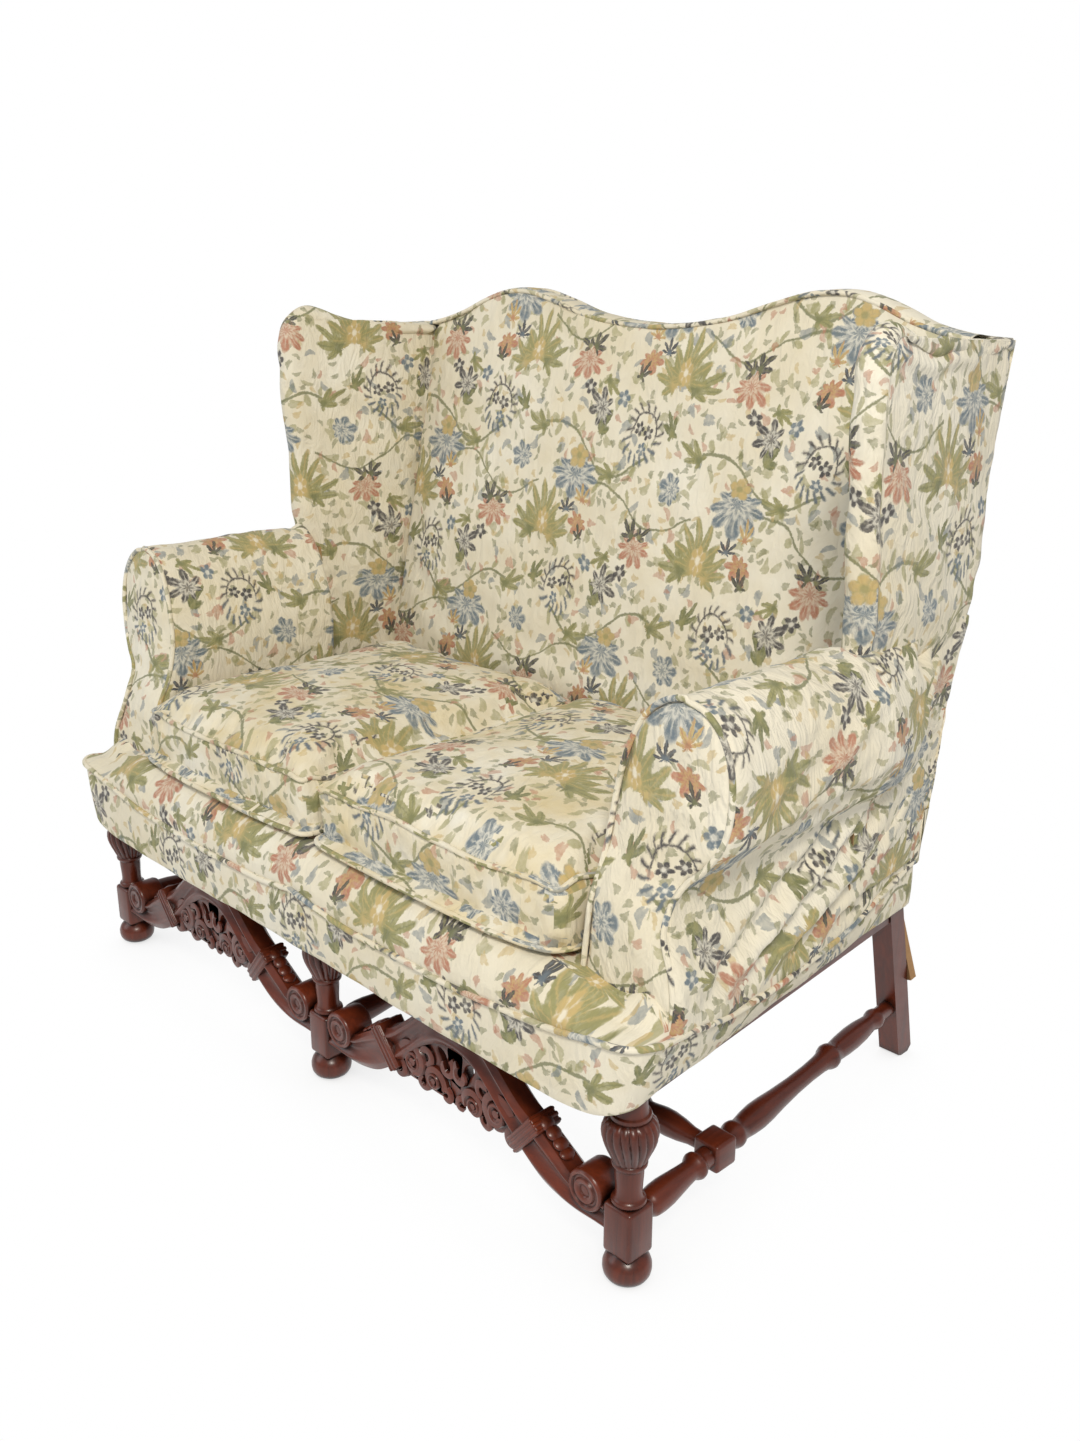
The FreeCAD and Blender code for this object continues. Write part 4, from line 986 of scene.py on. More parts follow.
@dataclass
class Wing:
    """One wing: its inside, its rounded edge, the rolled ear at the top and its outside."""

    bench: Bench
    tailor: Tailor
    side: Side
    sizes: WingSizes = field(default_factory=WingSizes)
    back: BackSizes = field(default_factory=BackSizes)

    def rim(self, share: Array) -> tuple[Array, Array, Array, Array]:
        """Return the rim's points and its outward ways at shares of its length."""
        knots = self.sizes.rim
        marks = np.linspace(0, len(knots) - 1, 500)
        y = along(marks, [(i, k[0]) for i, k in enumerate(knots)])
        z = along(marks, [(i, k[1]) for i, k in enumerate(knots)])
        run = travel(np.stack([y, z], axis=-1))
        run /= run[-1]
        out_y, out_z = -np.gradient(z), np.gradient(y)
        size = np.hypot(out_y, out_z)
        return (np.interp(share, run, y), np.interp(share, run, z),
                np.interp(share, run, out_y / size), np.interp(share, run, out_z / size))

    def cover(self) -> Piece:
        """Return the wing's cover as one closed form."""
        sizes = self.sizes

        def shape(u: Array, v: Array) -> Laid:
            """Return the wing's surface from its inner seam round its rim to its outer seam."""
            ry, rz, oy, oz = self.rim(u)
            seam_z = np.minimum(rz, 1052) * ease(1 - u, 0, 0.2) + 1052 * (1 - ease(1 - u, 0, 0.2))
            seam_y = along(seam_z, self.back.face) + 14
            rear_z = np.minimum(rz, 1056)
            rear_y = self.back.rear(rear_z) - 1
            size = np.minimum(sizes.round, 0.45 * np.hypot(ry - seam_y, rz - seam_z) + 4)
            inner_y, inner_z = ry - oy * size, rz - oz * size
            wall = np.clip((v - 0.95) / 0.05, 0, 1)
            face = np.clip(v / 0.4, 0, 1)
            far = np.clip((v - 0.62) / 0.33, 0, 1)
            angle = np.clip((v - 0.4) / 0.22, 0, 1) * math.pi
            reach = size * np.sin(angle)
            y = np.where(v < 0.4, seam_y + (inner_y - seam_y) * face,
                         np.where(v < 0.62, inner_y + oy * reach, inner_y + (rear_y - inner_y) * far))
            z = np.where(v < 0.4, seam_z + (inner_z - seam_z) * face,
                         np.where(v < 0.62, inner_z + oz * reach, inner_z + (rear_z - inner_z) * far))
            back = ease(y, 400, 600)
            tail = np.clip((y - 400) / 320, 0, 1)
            inside = sizes.front_x[0] * (1 - back) + sizes.rear_x[0] * back
            outside = sizes.front_x[1] * (1 - tail) + sizes.rear_x[1] * tail
            outside = outside - 14 * (1 - ease(z, 640, 690)) + 4 * ease(z, 690, 730) * (1 - ease(z, 780, 900))
            puff = 7 * np.sin(math.pi * np.clip(face, 0, 1))**0.8
            x = np.where(v < 0.4, inside - puff,
                         np.where(v < 0.62, (inside + outside) / 2 - (outside - inside) / 2 * np.cos(angle),
                                  outside + 2.5 * np.sin(math.pi * far)))
            x = x + (545 - x) * wall
            arc = angle * (size + 22) / 2
            s = np.where(v < 0.4, y, np.where(v < 0.62, inner_y + oy * arc, y - 44))
            t = np.where(v < 0.4, z, np.where(v < 0.62, inner_z + oz * arc, z + 20))
            return self.side.value * x, y, z, -self.side.value * s, t

        obj = self.bench.cloth("wing_cover_" + self.side.word, 200, 130, shape)
        folds = [
            Fold(((612, 400, 1052), (614, 440, 1046), (610, 500, 1032), (606, 560, 1040), (600, 640, 1030)), 9, 5),
            Fold(((612, 420, 1010), (610, 470, 960), (604, 540, 900), (600, 620, 840)), 20, 4),
            Fold(((614, 420, 900), (608, 500, 830), (600, 600, 760)), 22, 3.5),
            Fold(((614, 410, 760), (606, 500, 740), (600, 600, 700)), 20, 3),
            Fold(((568, 410, 600), (566, 430, 604), (562, 450, 603)), 9, 2.5),
            Fold(((566, 430, 850), (560, 500, 760), (556, 550, 690)), 20, 3),
            Fold(((566, 420, 960), (560, 500, 900), (556, 600, 860)), 20, 2.5),
        ]
        hand = self.side.value
        self.tailor.press(obj, folds, hand)
        self.tailor.slacken(obj, 4.4, (120, 130, 70), 4.4 + hand, 35)
        self.tailor.slacken(obj, 2.2, (50, 60, 30), 8.4 + hand, 35)
        word = self.side.word
        self.tailor.clear_of(obj, ["wing_post_" + word, "wing_rail_" + word, "back_post_" + word, "back_top_rail"])
        obj = self.bench.join(obj.name, [obj], 0)
        return self.bench.smooth(obj, 75)


@dataclass
class CushionSizes:
    """One loose seat cushion."""

    inner: float = 2.0
    outer: float = 494.0
    front: float = -34.0
    bow: float = 18.0
    rear: float = 545.0
    low: float = 378.0
    high: float = 468.0
    corner: float = 42.0
    swell_cap: float = 24.0


@dataclass
class SeatCushion:
    """One loose cushion, swollen by a cloth simulation and piped round its edges."""

    bench: Bench
    tailor: Tailor
    side: Side
    sizes: CushionSizes = field(default_factory=CushionSizes)

    def outline(self, inset: float, count: int = 240) -> Array:
        """Return the cushion's plan as evenly spaced points of the right hand."""
        s = self.sizes
        x0, x1 = s.inner + inset, s.outer - inset
        y0, y1 = s.front + inset, s.rear - inset
        width = x1 - x0
        corners = [((x0, y0 + s.bow * 0.45), 16), ((x0 + width * 0.28, y0), 60), ((x0 + width * 0.72, y0), 60),
                   ((x1, y0 + s.bow), s.corner), ((x1, y1), 20), ((x0, y1), 20)]
        spots = []
        for i, (here, radius) in enumerate(corners):
            spots += bend(corners[i - 1][0], here, corners[(i + 1) % len(corners)][0], radius)
        spots.append(spots[0])
        line = np.array(spots)
        run = travel(line)
        even = np.linspace(0, run[-1], count + 1)
        return np.stack([np.interp(even, run, line[:, 0]), np.interp(even, run, line[:, 1])], axis=-1)

    def case(self) -> Piece:
        """Return the cushion's case before it is filled."""
        s = self.sizes
        count = 240
        middle = np.array([(s.inner + s.outer) / 2, (s.front + s.rear) / 2])
        levels = ((0.0, 300), (0.0, 60), (1.0, 20), (5.0, 7), (14, 1.5), (30, 3), (62, 2), (80, 1), (88, 6),
                  (93, 20), (101, 70), (109, 140), (114, 220), (115, 300))
        rings = [self.outline(min(inset, 200), count) for height, inset in levels]
        heights = [height for height, inset in levels]

        def shape(u: Array, v: Array) -> Laid:
            """Return the case's surface from the middle of its underside to that of its top."""
            index = np.clip(np.rint(u * count).astype(int), 0, count)
            place = v * (len(levels) - 1)
            low = np.clip(place.astype(int), 0, len(levels) - 2)
            part = (place - low)[:, None]
            stack = np.array(rings)
            spot = stack[low, index] * (1 - part) + stack[low + 1, index] * part
            ends = np.clip(np.maximum(1 - place, place - (len(levels) - 2)), 0, 1)[:, None]
            spot = spot * (1 - ends) + middle * ends
            z = np.interp(place, np.arange(len(levels)), heights) + s.low + 1
            return self.side.value * spot[:, 0], spot[:, 1], z, 0 * z, 0 * z

        obj = self.bench.cloth("cushion_" + self.side.word, count, 78, shape)
        return self.bench.join(obj.name, [obj], 0.0006)

    def fill(self, obj: Piece) -> Piece:
        """Remesh the case and blow it up as a cloth under pressure, with its growth capped."""
        self.bench.modify(obj, "REMESH", mode="VOXEL", voxel_size=0.0075)
        count = len(obj.data.vertices)
        before = np.zeros(count * 3, np.float32)
        obj.data.vertices.foreach_get("co", before)
        self.bench.pick(obj)
        modifier = obj.modifiers.new("Fill", "CLOTH")
        modifier.settings.quality = 5
        modifier.settings.mass = 0.3
        modifier.settings.tension_stiffness = 12
        modifier.settings.compression_stiffness = 12
        modifier.settings.bending_stiffness = 0.6
        modifier.settings.use_pressure = True
        modifier.settings.uniform_pressure_force = 4.0
        modifier.settings.effector_weights.gravity = 0.0
        modifier.collision_settings.use_collision = False
        modifier.point_cache.frame_start = 1
        modifier.point_cache.frame_end = 20
        scene = bpy.context.scene
        for step in range(1, 21):
            scene.frame_set(step)
        bpy.ops.object.modifier_apply(modifier=modifier.name)
        scene.frame_set(1)
        after = np.zeros(count * 3, np.float32)
        obj.data.vertices.foreach_get("co", after)
        start, end = before.reshape(-1, 3), after.reshape(-1, 3)
        move = end - start
        size = np.linalg.norm(move, axis=1)[:, None] + 1e-9
        cap = self.sizes.swell_cap * MM
        move *= np.minimum(size, cap) / size
        rest = (start[:, 2] < (self.sizes.low + 12) * MM)[:, None]
        move = np.where(rest, move * 0.1, move)
        spot = start + move
        low, high = self.side_limits()
        spot[:, 0] = np.clip(spot[:, 0], low, high)
        spot[:, 2] = np.maximum(spot[:, 2], (self.sizes.low - 0.5) * MM)
        obj.data.vertices.foreach_set("co", spot.astype(np.float32).ravel())
        obj.data.update()
        return obj

    def side_limits(self) -> Pair:
        """Return how far the cushion may reach to either side, in metres."""
        ends = sorted((self.side.value * 0.5 * MM, self.side.value * 500.5 * MM))
        return ends[0], ends[1]

    def wrap(self, obj: Piece) -> None:
        """Give the filled cushion its cloth lengths, each face by the way it looks."""
        mesh = obj.data
        while mesh.uv_layers:
            mesh.uv_layers.remove(mesh.uv_layers[0])
        layer = mesh.uv_layers.new(name="Cloth")
        spots = np.zeros(len(mesh.vertices) * 3, np.float32)
        mesh.vertices.foreach_get("co", spots)
        spots = spots.reshape(-1, 3)
        loops = np.zeros(len(mesh.loops), np.int32)
        mesh.loops.foreach_get("vertex_index", loops)
        faces = np.zeros(len(mesh.loops), np.int32)
        starts = np.zeros(len(mesh.polygons), np.int32)
        totals = np.zeros(len(mesh.polygons), np.int32)
        ways = np.zeros(len(mesh.polygons) * 3, np.float32)
        mesh.polygons.foreach_get("loop_start", starts)
        mesh.polygons.foreach_get("loop_total", totals)
        mesh.polygons.foreach_get("normal", ways)
        for i, (start, total) in enumerate(zip(starts, totals)):
            faces[start:start + total] = i
        way = ways.reshape(-1, 3)[faces]
        spot = spots[loops]
        upward = np.abs(way[:, 2]) > 0.5
        sideways = np.abs(way[:, 0]) > np.abs(way[:, 1])
        s = np.where(upward, spot[:, 0], np.where(sideways, spot[:, 1], spot[:, 0]))
        t = np.where(upward, spot[:, 1] * 1.02, spot[:, 2] - 0.49)
        layer.data.foreach_set("uv", np.stack([s, t], axis=-1).astype(np.float32).ravel())

    def make(self) -> Piece:
        """Return the filled cushion."""
        obj = self.fill(self.case())
        hand = self.side.value
        self.tailor.press(obj, [
            Fold(((250, 500, 500), (260, 440, 502), (250, 380, 503)), 26, 2.5),
            Fold(((60, -36, 420), (200, -44, 428), (420, -30, 420)), 16, 2.0),
            Fold(((120, 40, 498), (200, 150, 503), (220, 260, 504)), 36, 3.0),
            Fold(((400, 60, 497), (360, 160, 502), (380, 300, 504)), 34, 3.0)], hand)
        self.tailor.slacken(obj, 3.4, (150, 120, 90), 6.3 + hand)
        self.tailor.slacken(obj, 1.6, (52, 60, 40), 1.3 + hand)
        self.tailor.clear_of(obj, ["cushion_fill_" + self.side.word], 2.5)
        obj = self.bench.join(obj.name, [obj], 0.0)
        self.wrap(obj)
        return self.bench.smooth(obj, 80)

    def piping(self, obj: Piece, top: bool) -> Piece:
        """Return the cord round the cushion's top or bottom edge, laid on the filled case.

        Args:
            obj: The filled cushion.
            top: Whether it is the top edge.

        Returns:
            The cord.
        """
        plan = self.outline(4, 300)[:-1]
        bow = along(plan[:, 0], ((0, 0), (250, 1), (494, 0)))
        rise = 5 * bow * (plan[:, 1] < 200) + 2.0 * np.sin(plan[:, 0] / 60)
        z = self.sizes.high + 4 + rise if top else self.sizes.low + 6 + 0 * rise
        found = []
        for (x, y), height in zip(plan, z + 0 * plan[:, 0]):
            _, spot, way, _ = obj.closest_point_on_mesh(self.bench.place.point(self.side.value * x, y, height))
            spot = spot + way * 0.0014
            found.append((spot.x / MM, (spot.y - self.bench.place.leg_line) / MM, spot.z / MM))
        path = np.array(found)
        for _ in range(4):
            path = (np.roll(path, 1, axis=0) + 2 * path + np.roll(path, -1, axis=0)) / 4
        path[:, 0] = self.side.value * np.clip(self.side.value * path[:, 0], 4.6, 497)
        name = "cushion_piping_" + ("top_" if top else "low_") + self.side.word
        return self.bench.tube(name, path, 3.8, 10, closed=True)


@dataclass
class LegSizes:
    """The turned front leg, with its gadrooned cup and bun foot."""

    spacing: float = 600.0
    rear_spacing: float = 553.0
    block: float = 44.0
    block_low: float = 38.0
    block_high: float = 107.0
    shaft: Knots = (
        (104, 17.5), (107.5, 19.5), (110.5, 21.4), (113.5, 20.6), (115, 18.0), (118, 16.8), (124, 16.2), (134, 16.6),
        (146, 17.4), (156, 17.6), (158, 19.6), (160.5, 21.4), (163, 21.8), (165.5, 20.6), (166.5, 18.6))
    cup: Knots = (
        (165, 19.5), (170, 21.8), (176, 24.2), (183, 27.2), (190, 29.8), (197, 31.8), (204, 32.6), (211, 32.0),
        (217, 29.6), (221, 26.2), (224, 22.0))
    neck: Knots = (
        (222, 22.0), (224, 24.0), (227, 25.2), (230, 24.2), (231.5, 21.4), (236, 19.8), (246, 19.4), (262, 20.0),
        (320, 20.0))
    foot: Knots = (
        (0.3, 16), (1.6, 21), (5, 25.8), (10, 28.8), (16, 30.0), (22, 29.8), (28, 27.8), (33, 24.2), (36.5, 19.6),
        (38.5, 17.4), (41, 17.4))


@dataclass
class FrontLeg:
    """One front leg: the shaft, the carved cup, the neck, the square block and the bun foot."""

    bench: Bench
    x: float
    word: str
    sizes: LegSizes = field(default_factory=LegSizes)

    def _place(self, obj: Piece) -> Piece:
        """Move a turned piece onto the leg's axis."""
        obj.location = self.bench.place.point(self.x, 0, 0)
        return self.bench.settle(obj)

    def shank(self) -> Piece:
        """Return the turned shaft, the cup's lobes, the neck and the block as one piece."""
        sizes = self.sizes
        shaft = self.bench.lathe("shaft", sizes.shaft, 40)
        neck = self.bench.lathe("neck", sizes.neck, 40)
        cup = self.bench.lathe("cup", sizes.cup, 144)
        for vertex in cup.data.vertices:
            spot = vertex.co
            angle = math.atan2(spot.y, spot.x)
            rise = (spot.z / MM - 165) / 59
            lobe = abs(math.sin(9 * (angle + 0.22 * rise))) ** 0.6
            depth = 0.15 * math.sin(math.pi * min(max(rise, 0.04), 0.96)) ** 0.5
            scale = 1.05 - depth * (1 - lobe)
            vertex.co.x *= scale
            vertex.co.y *= scale
        for piece in (shaft, neck, cup):
            self._place(piece)
        half = sizes.block / 2
        block = self.bench.block("block", (self.x - half, -half, sizes.block_low),
                                 (self.x + half, half, sizes.block_high), 5.5, 3)
        obj = self.bench.join("front_leg_turned_" + self.word, [shaft, neck, cup, block], 0)
        return self.bench.smooth(obj, 42)

    def foot(self) -> Piece:
        """Return the bun foot."""
        obj = self._place(self.bench.lathe("bun_foot_turned_" + self.word, self.sizes.foot, 48))
        return self.bench.smooth(obj, 50)


@dataclass
class StretcherSizes:
    """The turned stretchers, whose profiles run from the front or the middle."""

    front_y: float = 20.0
    front_z: float = 80.5
    rear_y: float = 640.0
    rear_z: float = 88.0
    rear_leg_y: float = 660.0
    reach: float = 0.97
    cross_y: float = 177.0
    block: float = 40.0
    tenon: float = 11.5
    near: Knots = (
        (0, 11.5), (6, 12), (12, 12.5), (17, 15.8), (20, 17.2), (24, 17.8), (34, 18.6), (48, 18.4), (66, 16.6),
        (84, 14.6), (98, 13.4), (104, 13.6), (108, 16.6), (112, 18.2), (116, 17.8), (119, 15.2), (124, 14.0),
        (137, 14.0))
    far: Knots = (
        (176, 14.0), (182, 14.2), (188, 15.2), (193, 17.6), (198, 18.4), (203, 17.6), (207, 15.0), (216, 15.2),
        (232, 17.2), (250, 18.2), (270, 17.4), (300, 15.0), (340, 12.8), (380, 12.2), (410, 13.0), (424, 14.4),
        (430, 17.2), (436, 18.6), (442, 17.6), (447, 14.6), (456, 14.8), (476, 16.2), (500, 16.8), (524, 15.8),
        (545, 13.4), (556, 12.4), (562, 14.6), (568, 15.6), (574, 14.4), (582, 11.8))
    half_cross: Knots = (
        (0, 11.5), (16, 12.2), (34, 15.6), (52, 17.6), (66, 17.4), (80, 15.2), (92, 13.8), (97, 16.6), (101, 18.2),
        (105, 17.4), (109, 14.6), (122, 14.4), (160, 16.2), (200, 17.6), (250, 18.0))
    cross_length: float = 548.0
    cross_start: float = 17.0
    cross_z: float = 82.4


@dataclass
class SideStretcher:
    """One stretcher from a front leg to its back leg, with the block that takes the cross stretcher."""

    bench: Bench
    word: str
    front_x: float
    back_x: float
    sizes: StretcherSizes = field(default_factory=StretcherSizes)

    def make(self) -> Piece:
        """Return the turned stretcher."""
        place, sizes = self.bench.place, self.sizes
        run_x = self.back_x - self.front_x
        start = place.point(self.front_x, sizes.front_y, sizes.front_z)
        end = place.point(self.front_x + run_x * sizes.reach, sizes.rear_y, sizes.rear_z)
        far = sizes.far + (((end - start).length / MM, sizes.tenon),)
        pieces = [self.bench.lathe("near", sizes.near, 32), self.bench.lathe("far", far, 32)]
        for piece in pieces:
            self.bench.stand(piece, start, (end - start).normalized())
        share = (sizes.cross_y - sizes.front_y) / (sizes.rear_y - sizes.front_y)
        centre = (self.front_x + run_x * sizes.cross_y / sizes.rear_leg_y, sizes.cross_y,
                  sizes.front_z + (sizes.rear_z - sizes.front_z) * share)
        half = sizes.block / 2
        pieces.append(self.bench.block("block", tuple(c - half for c in centre), tuple(c + half for c in centre), 5, 3))
        obj = self.bench.join("side_stretcher_turned_" + self.word, pieces, 0)
        return self.bench.smooth(obj, 42)


@dataclass
class CrossStretcher:
    """One turned stretcher between the side stretchers."""

    bench: Bench
    side: Side
    sizes: StretcherSizes = field(default_factory=StretcherSizes)

    def make(self) -> Piece:
        """Return the turned cross stretcher."""
        sizes = self.sizes
        full = sizes.half_cross + tuple((sizes.cross_length - z, r) for z, r in reversed(sizes.half_cross))
        obj = self.bench.lathe("cross_stretcher_turned_" + self.side.word, full, 32)
        start = self.bench.place.point(self.side.value * sizes.cross_start, sizes.cross_y, sizes.cross_z)
        self.bench.stand(obj, start, Vector((self.side.value, 0, 0)))
        return self.bench.smooth(obj, 42)


@dataclass
class CarvingSizes:
    """Half of one carved stretcher, measured from its middle."""

    end: float = 278.0
    top: Knots = (
        (0, 235), (18, 234), (36, 230), (60, 216), (92, 188), (126, 160), (163, 142), (196, 121), (214, 109), (236,
                                                                                                               103),
        (256, 102))
    under: Knots = (
        (0, 177), (18, 176), (36, 171), (62, 155), (96, 124), (130, 95), (163, 72), (200, 61), (228, 58.5), (256, 59.5))
    leaf: Knots = (
        (0, 92), (7, 94), (13, 103), (19, 106), (25, 97), (36, 94), (46, 99), (50, 107), (57, 101), (68, 99), (76, 93),
        (88, 95), (96, 99), (101, 90), (110, 86), (120, 89), (126, 98), (132, 104), (130, 120), (112, 150), (80, 185),
        (40, 205))
    holes: tuple[tuple[float, float, float, float, float], ...] = (
        (96, 146, 15, 6, 42), (62, 153, 14, 5.5, 52), (24, 152, 17, 6.5, 66), (61, 121, 8, 5, 20), (110, 112, 8, 4.5,
                                                                                                    50))
    eyes: tuple[tuple[float, float, float], ...] = ((84, 124, 20), (40, 114, 15))
    scrolls: tuple[tuple[float, float, float, float, float, float], ...] = (
        (84, 124, 24, 20, 330, 7.5), (40, 114, 18, 200, -320, 6.4), (114, 100, 12, 60, 300, 6.0), (64, 102, 10, 150,
                                                                                                   300, 5.4),
        (14, 102, 9, 20, 320, 5.2), (58, 146, 14, 300, -280, 5.6), (14, 146, 13, 120, 280, 6.0))
    crest: tuple[tuple[float, float, float, float], ...] = (
        (164, 141, 12, 38), (176, 133, 12, 36), (188, 124, 11, 34), (199, 116, 9, 32))
    knuckle: tuple[float, float, float] = (139.0, 123.0, 40.0)
    boss: tuple[float, float, float] = (248.0, 103.0, 27.5)


@dataclass
class CarvedStretcher:
    """One arched front stretcher: its moulding, knuckles, scroll bosses and pierced leafwork."""

    bench: Bench
    side: Side
    sizes: CarvingSizes = field(default_factory=CarvingSizes)

    @property
    def centre(self) -> float:
        """Return the stretcher's middle, half way between its legs."""
        return self.side.value * LegSizes().spacing / 2

    def moulding(self) -> Piece:
        """Return the arched moulding, with two beads and a channel along its face."""
        sizes = self.sizes

        def shape(u: Array, v: Array) -> Laid:
            """Return the moulding's surface."""
            x = (u * 2 - 1) * sizes.end
            far = np.abs(x)
            top, low = along(far, sizes.top), along(far, sizes.under)
            front = v < 0.5
            share = np.where(front, v * 2, 2 - v * 2)
            bead = (np.exp(-((share - 0.2) / 0.085)**2) + 0.85 * np.exp(-((share - 0.78) / 0.09)**2)
                    - 0.85 * np.exp(-((share - 0.49) / 0.13)**2))
            edge = np.clip(np.minimum(share, 1 - share) * 9, 0, 1)
            depth = (10 + 5 * np.sqrt(edge) + 4.6 * bead * np.sqrt(edge)) * np.where(edge > 0, 1, 0.9)
            depth = depth * np.where(share * (1 - share) < 1e-6, 0, 1)
            return x + self.centre, np.where(front, -depth, depth), top + (low - top) * share, x, share

        obj = self.bench.cloth("moulding", 220, 64, shape)
        return self.bench.seal(self.bench.join("moulding", [obj], 0.0003))

    def leafwork(self, hand: int) -> Piece:
        """Return one half of the pierced leafwork as a flat curve with holes, thickened and eased."""
        sizes = self.sizes
        curve = bpy.data.curves.new("leafwork", "CURVE")
        curve.dimensions = "2D"
        curve.fill_mode = "BOTH"
        curve.extrude = 6.0 * MM
        curve.bevel_depth = 3.2 * MM
        curve.offset = -3.0 * MM
        curve.bevel_resolution = 2
        outline = [(hand * (u + 0.4), z) for u, z in sizes.leaf] + [(hand * 0.4, 214)]
        loops = [outline]
        for u, z, long_half, short_half, turn in sizes.holes:
            lean = math.radians(turn)
            marks = []
            for i in range(18):
                angle = 2 * math.pi * i / 18
                a = long_half * math.cos(angle)
                b = (short_half * (1 + 0.45 * math.cos(angle)) * math.sin(angle)
                     + 0.25 * long_half * math.cos(angle) ** 2)
                marks.append((hand * (u + a * math.cos(lean) + b * math.sin(lean)),
                              z + a * math.sin(lean) - b * math.cos(lean)))
            loops.append(marks)
        for marks in loops:
            spline = curve.splines.new("BEZIER")
            spline.bezier_points.add(len(marks) - 1)
            for point, (u, z) in zip(spline.bezier_points, marks):
                point.co = (u * MM, z * MM, 0)
                point.handle_left_type = point.handle_right_type = "AUTO"
            spline.use_cyclic_u = True
            spline.resolution_u = 3
        obj = bpy.data.objects.new("leafwork", curve)
        bpy.context.scene.collection.objects.link(obj)
        self.bench.pick(obj)
        bpy.ops.object.convert(target="MESH")
        obj = bpy.context.object
        obj.rotation_euler = (math.pi / 2, 0, 0)
        obj.location = self.bench.place.point(self.centre, 0, 0)
        obj = self.bench.settle(obj)
        return self.bench.join("leafwork", [obj], 0.00005)

    def scroll(self, hand: int, u: float, z: float, size: float, start: float, sweep: float,
               thick: float) -> Piece:
        """Return one raised scroll that winds in to its eye."""
        share = np.linspace(0, 1, 46)
        angle = np.radians(start + sweep * share)
        reach = size * (1.25 - share) ** 0.8
        path = np.stack([self.centre + hand * (u + reach * np.cos(angle)),
                         -9.0 - 3.5 * share, z + reach * np.sin(angle)], axis=-1)
        obj = self.bench.tube("scroll", path, thick, 8)
        for vertex in obj.data.vertices:
            spot = vertex.co
            near = math.hypot(spot.x / MM - self.centre - hand * u, spot.z / MM - z) / size
            limit = self.bench.place.leg_line - (9 + thick * (0.9 if near < 0.9 else 1.5 - near * 0.65)) * MM
            spot.y = max(spot.y, limit)
        return obj

    def turned(self, profile: Sequence[Pair], u: float, z: float, front: float) -> Piece:
        """Return a round piece whose axis runs through the stretcher from a front plane."""
        obj = self.bench.lathe("turned", profile, 36)
        return self.bench.stand(obj, self.bench.place.point(self.centre + u, front, z), Vector((0, 1, 0)))

    def lobe(self, hand: int, u: float, z: float, size: float, turn: float) -> Piece:
        """Return one pointed lobe of the leaf crest."""
        self.bench.clear()
        bpy.ops.mesh.primitive_uv_sphere_add(segments=16, ring_count=10, radius=1)
        obj = bpy.context.object
        for vertex in obj.data.vertices:
            x, y, w = vertex.co
            narrow = 1 - 0.45 * max(x, 0) ** 2
            vertex.co = (x * size * MM, y * 11.5 * MM * narrow,
                         w * size * 0.44 * MM * narrow * (1 - 0.3 * abs(y) * (w > 0)))
        obj.rotation_euler = (0, math.radians(turn if hand > 0 else 180 - turn), 0)
        obj.location = self.bench.place.point(self.centre + hand * u, 0, z)
        return self.bench.settle(obj)

    def make(self) -> Piece:
        """Return the whole carved stretcher."""
        sizes = self.sizes
        pieces = [self.moulding()]
        for hand in (-1, 1):
            pieces.append(self.leafwork(hand))
            for scroll in sizes.scrolls:
                pieces.append(self.scroll(hand, *scroll))
            for u, z, radius in sizes.eyes:
                profile = ((0, radius * 0.28), (2.6, radius * 0.34), (0.8, radius * 0.46), (-1.0, radius * 0.56),
                           (-0.6, radius * 0.7), (1.5, radius * 0.8), (9, radius * 0.84), (20, radius * 0.8))
                pieces.append(self.turned(profile, hand * u, z, -15.5))
            for u, z, size, turn in sizes.crest:
                pieces.append(self.lobe(hand, u, z + 3, size, turn))
            u, z, radius = sizes.boss
            profile = ((2.4, 4), (3.0, 7.4), (0.8, 9.0), (-0.2, 12), (0.0, 15.4), (2.6, 17.2), (3.2, 19.8), (0.9, 21.6),
                       (0.4, 24.4), (2.2, radius - 0.8), (5, radius), (41, radius), (44.6, radius - 1.6), (46, 20),
                       (46, 6))
            pieces.append(self.turned(profile, hand * u, z, -23))
            u, z, turn = sizes.knuckle
            for k, (wide, tall, thick) in enumerate(((24, 66, 42), (7, 69, 44.5), (5.0, 66, 44.0), (5.0, 66, 44.0))):
                shift = (0, 0, -8.0, 8.0)[k]
                lean = math.radians(turn)
                cx = self.centre + hand * (u + shift * math.cos(lean))
                cz = z - shift * math.sin(lean)
                block = self.bench.block("knuckle", (-wide / 2, -thick / 2, -tall / 2), (wide / 2, thick / 2, tall / 2),
                                         min(wide, 8) * 0.42, 3)
                block.location = -self.bench.place.point(0, 0, 0)
                block = self.bench.settle(block)
                block.rotation_euler = (0, hand * lean, 0)
                block.location = self.bench.place.point(cx, 0, cz)
                pieces.append(self.bench.settle(block))
        obj = self.bench.join("carved_stretcher_pierced_" + self.side.word, pieces, 0)
        return self.bench.smooth(obj, 38)


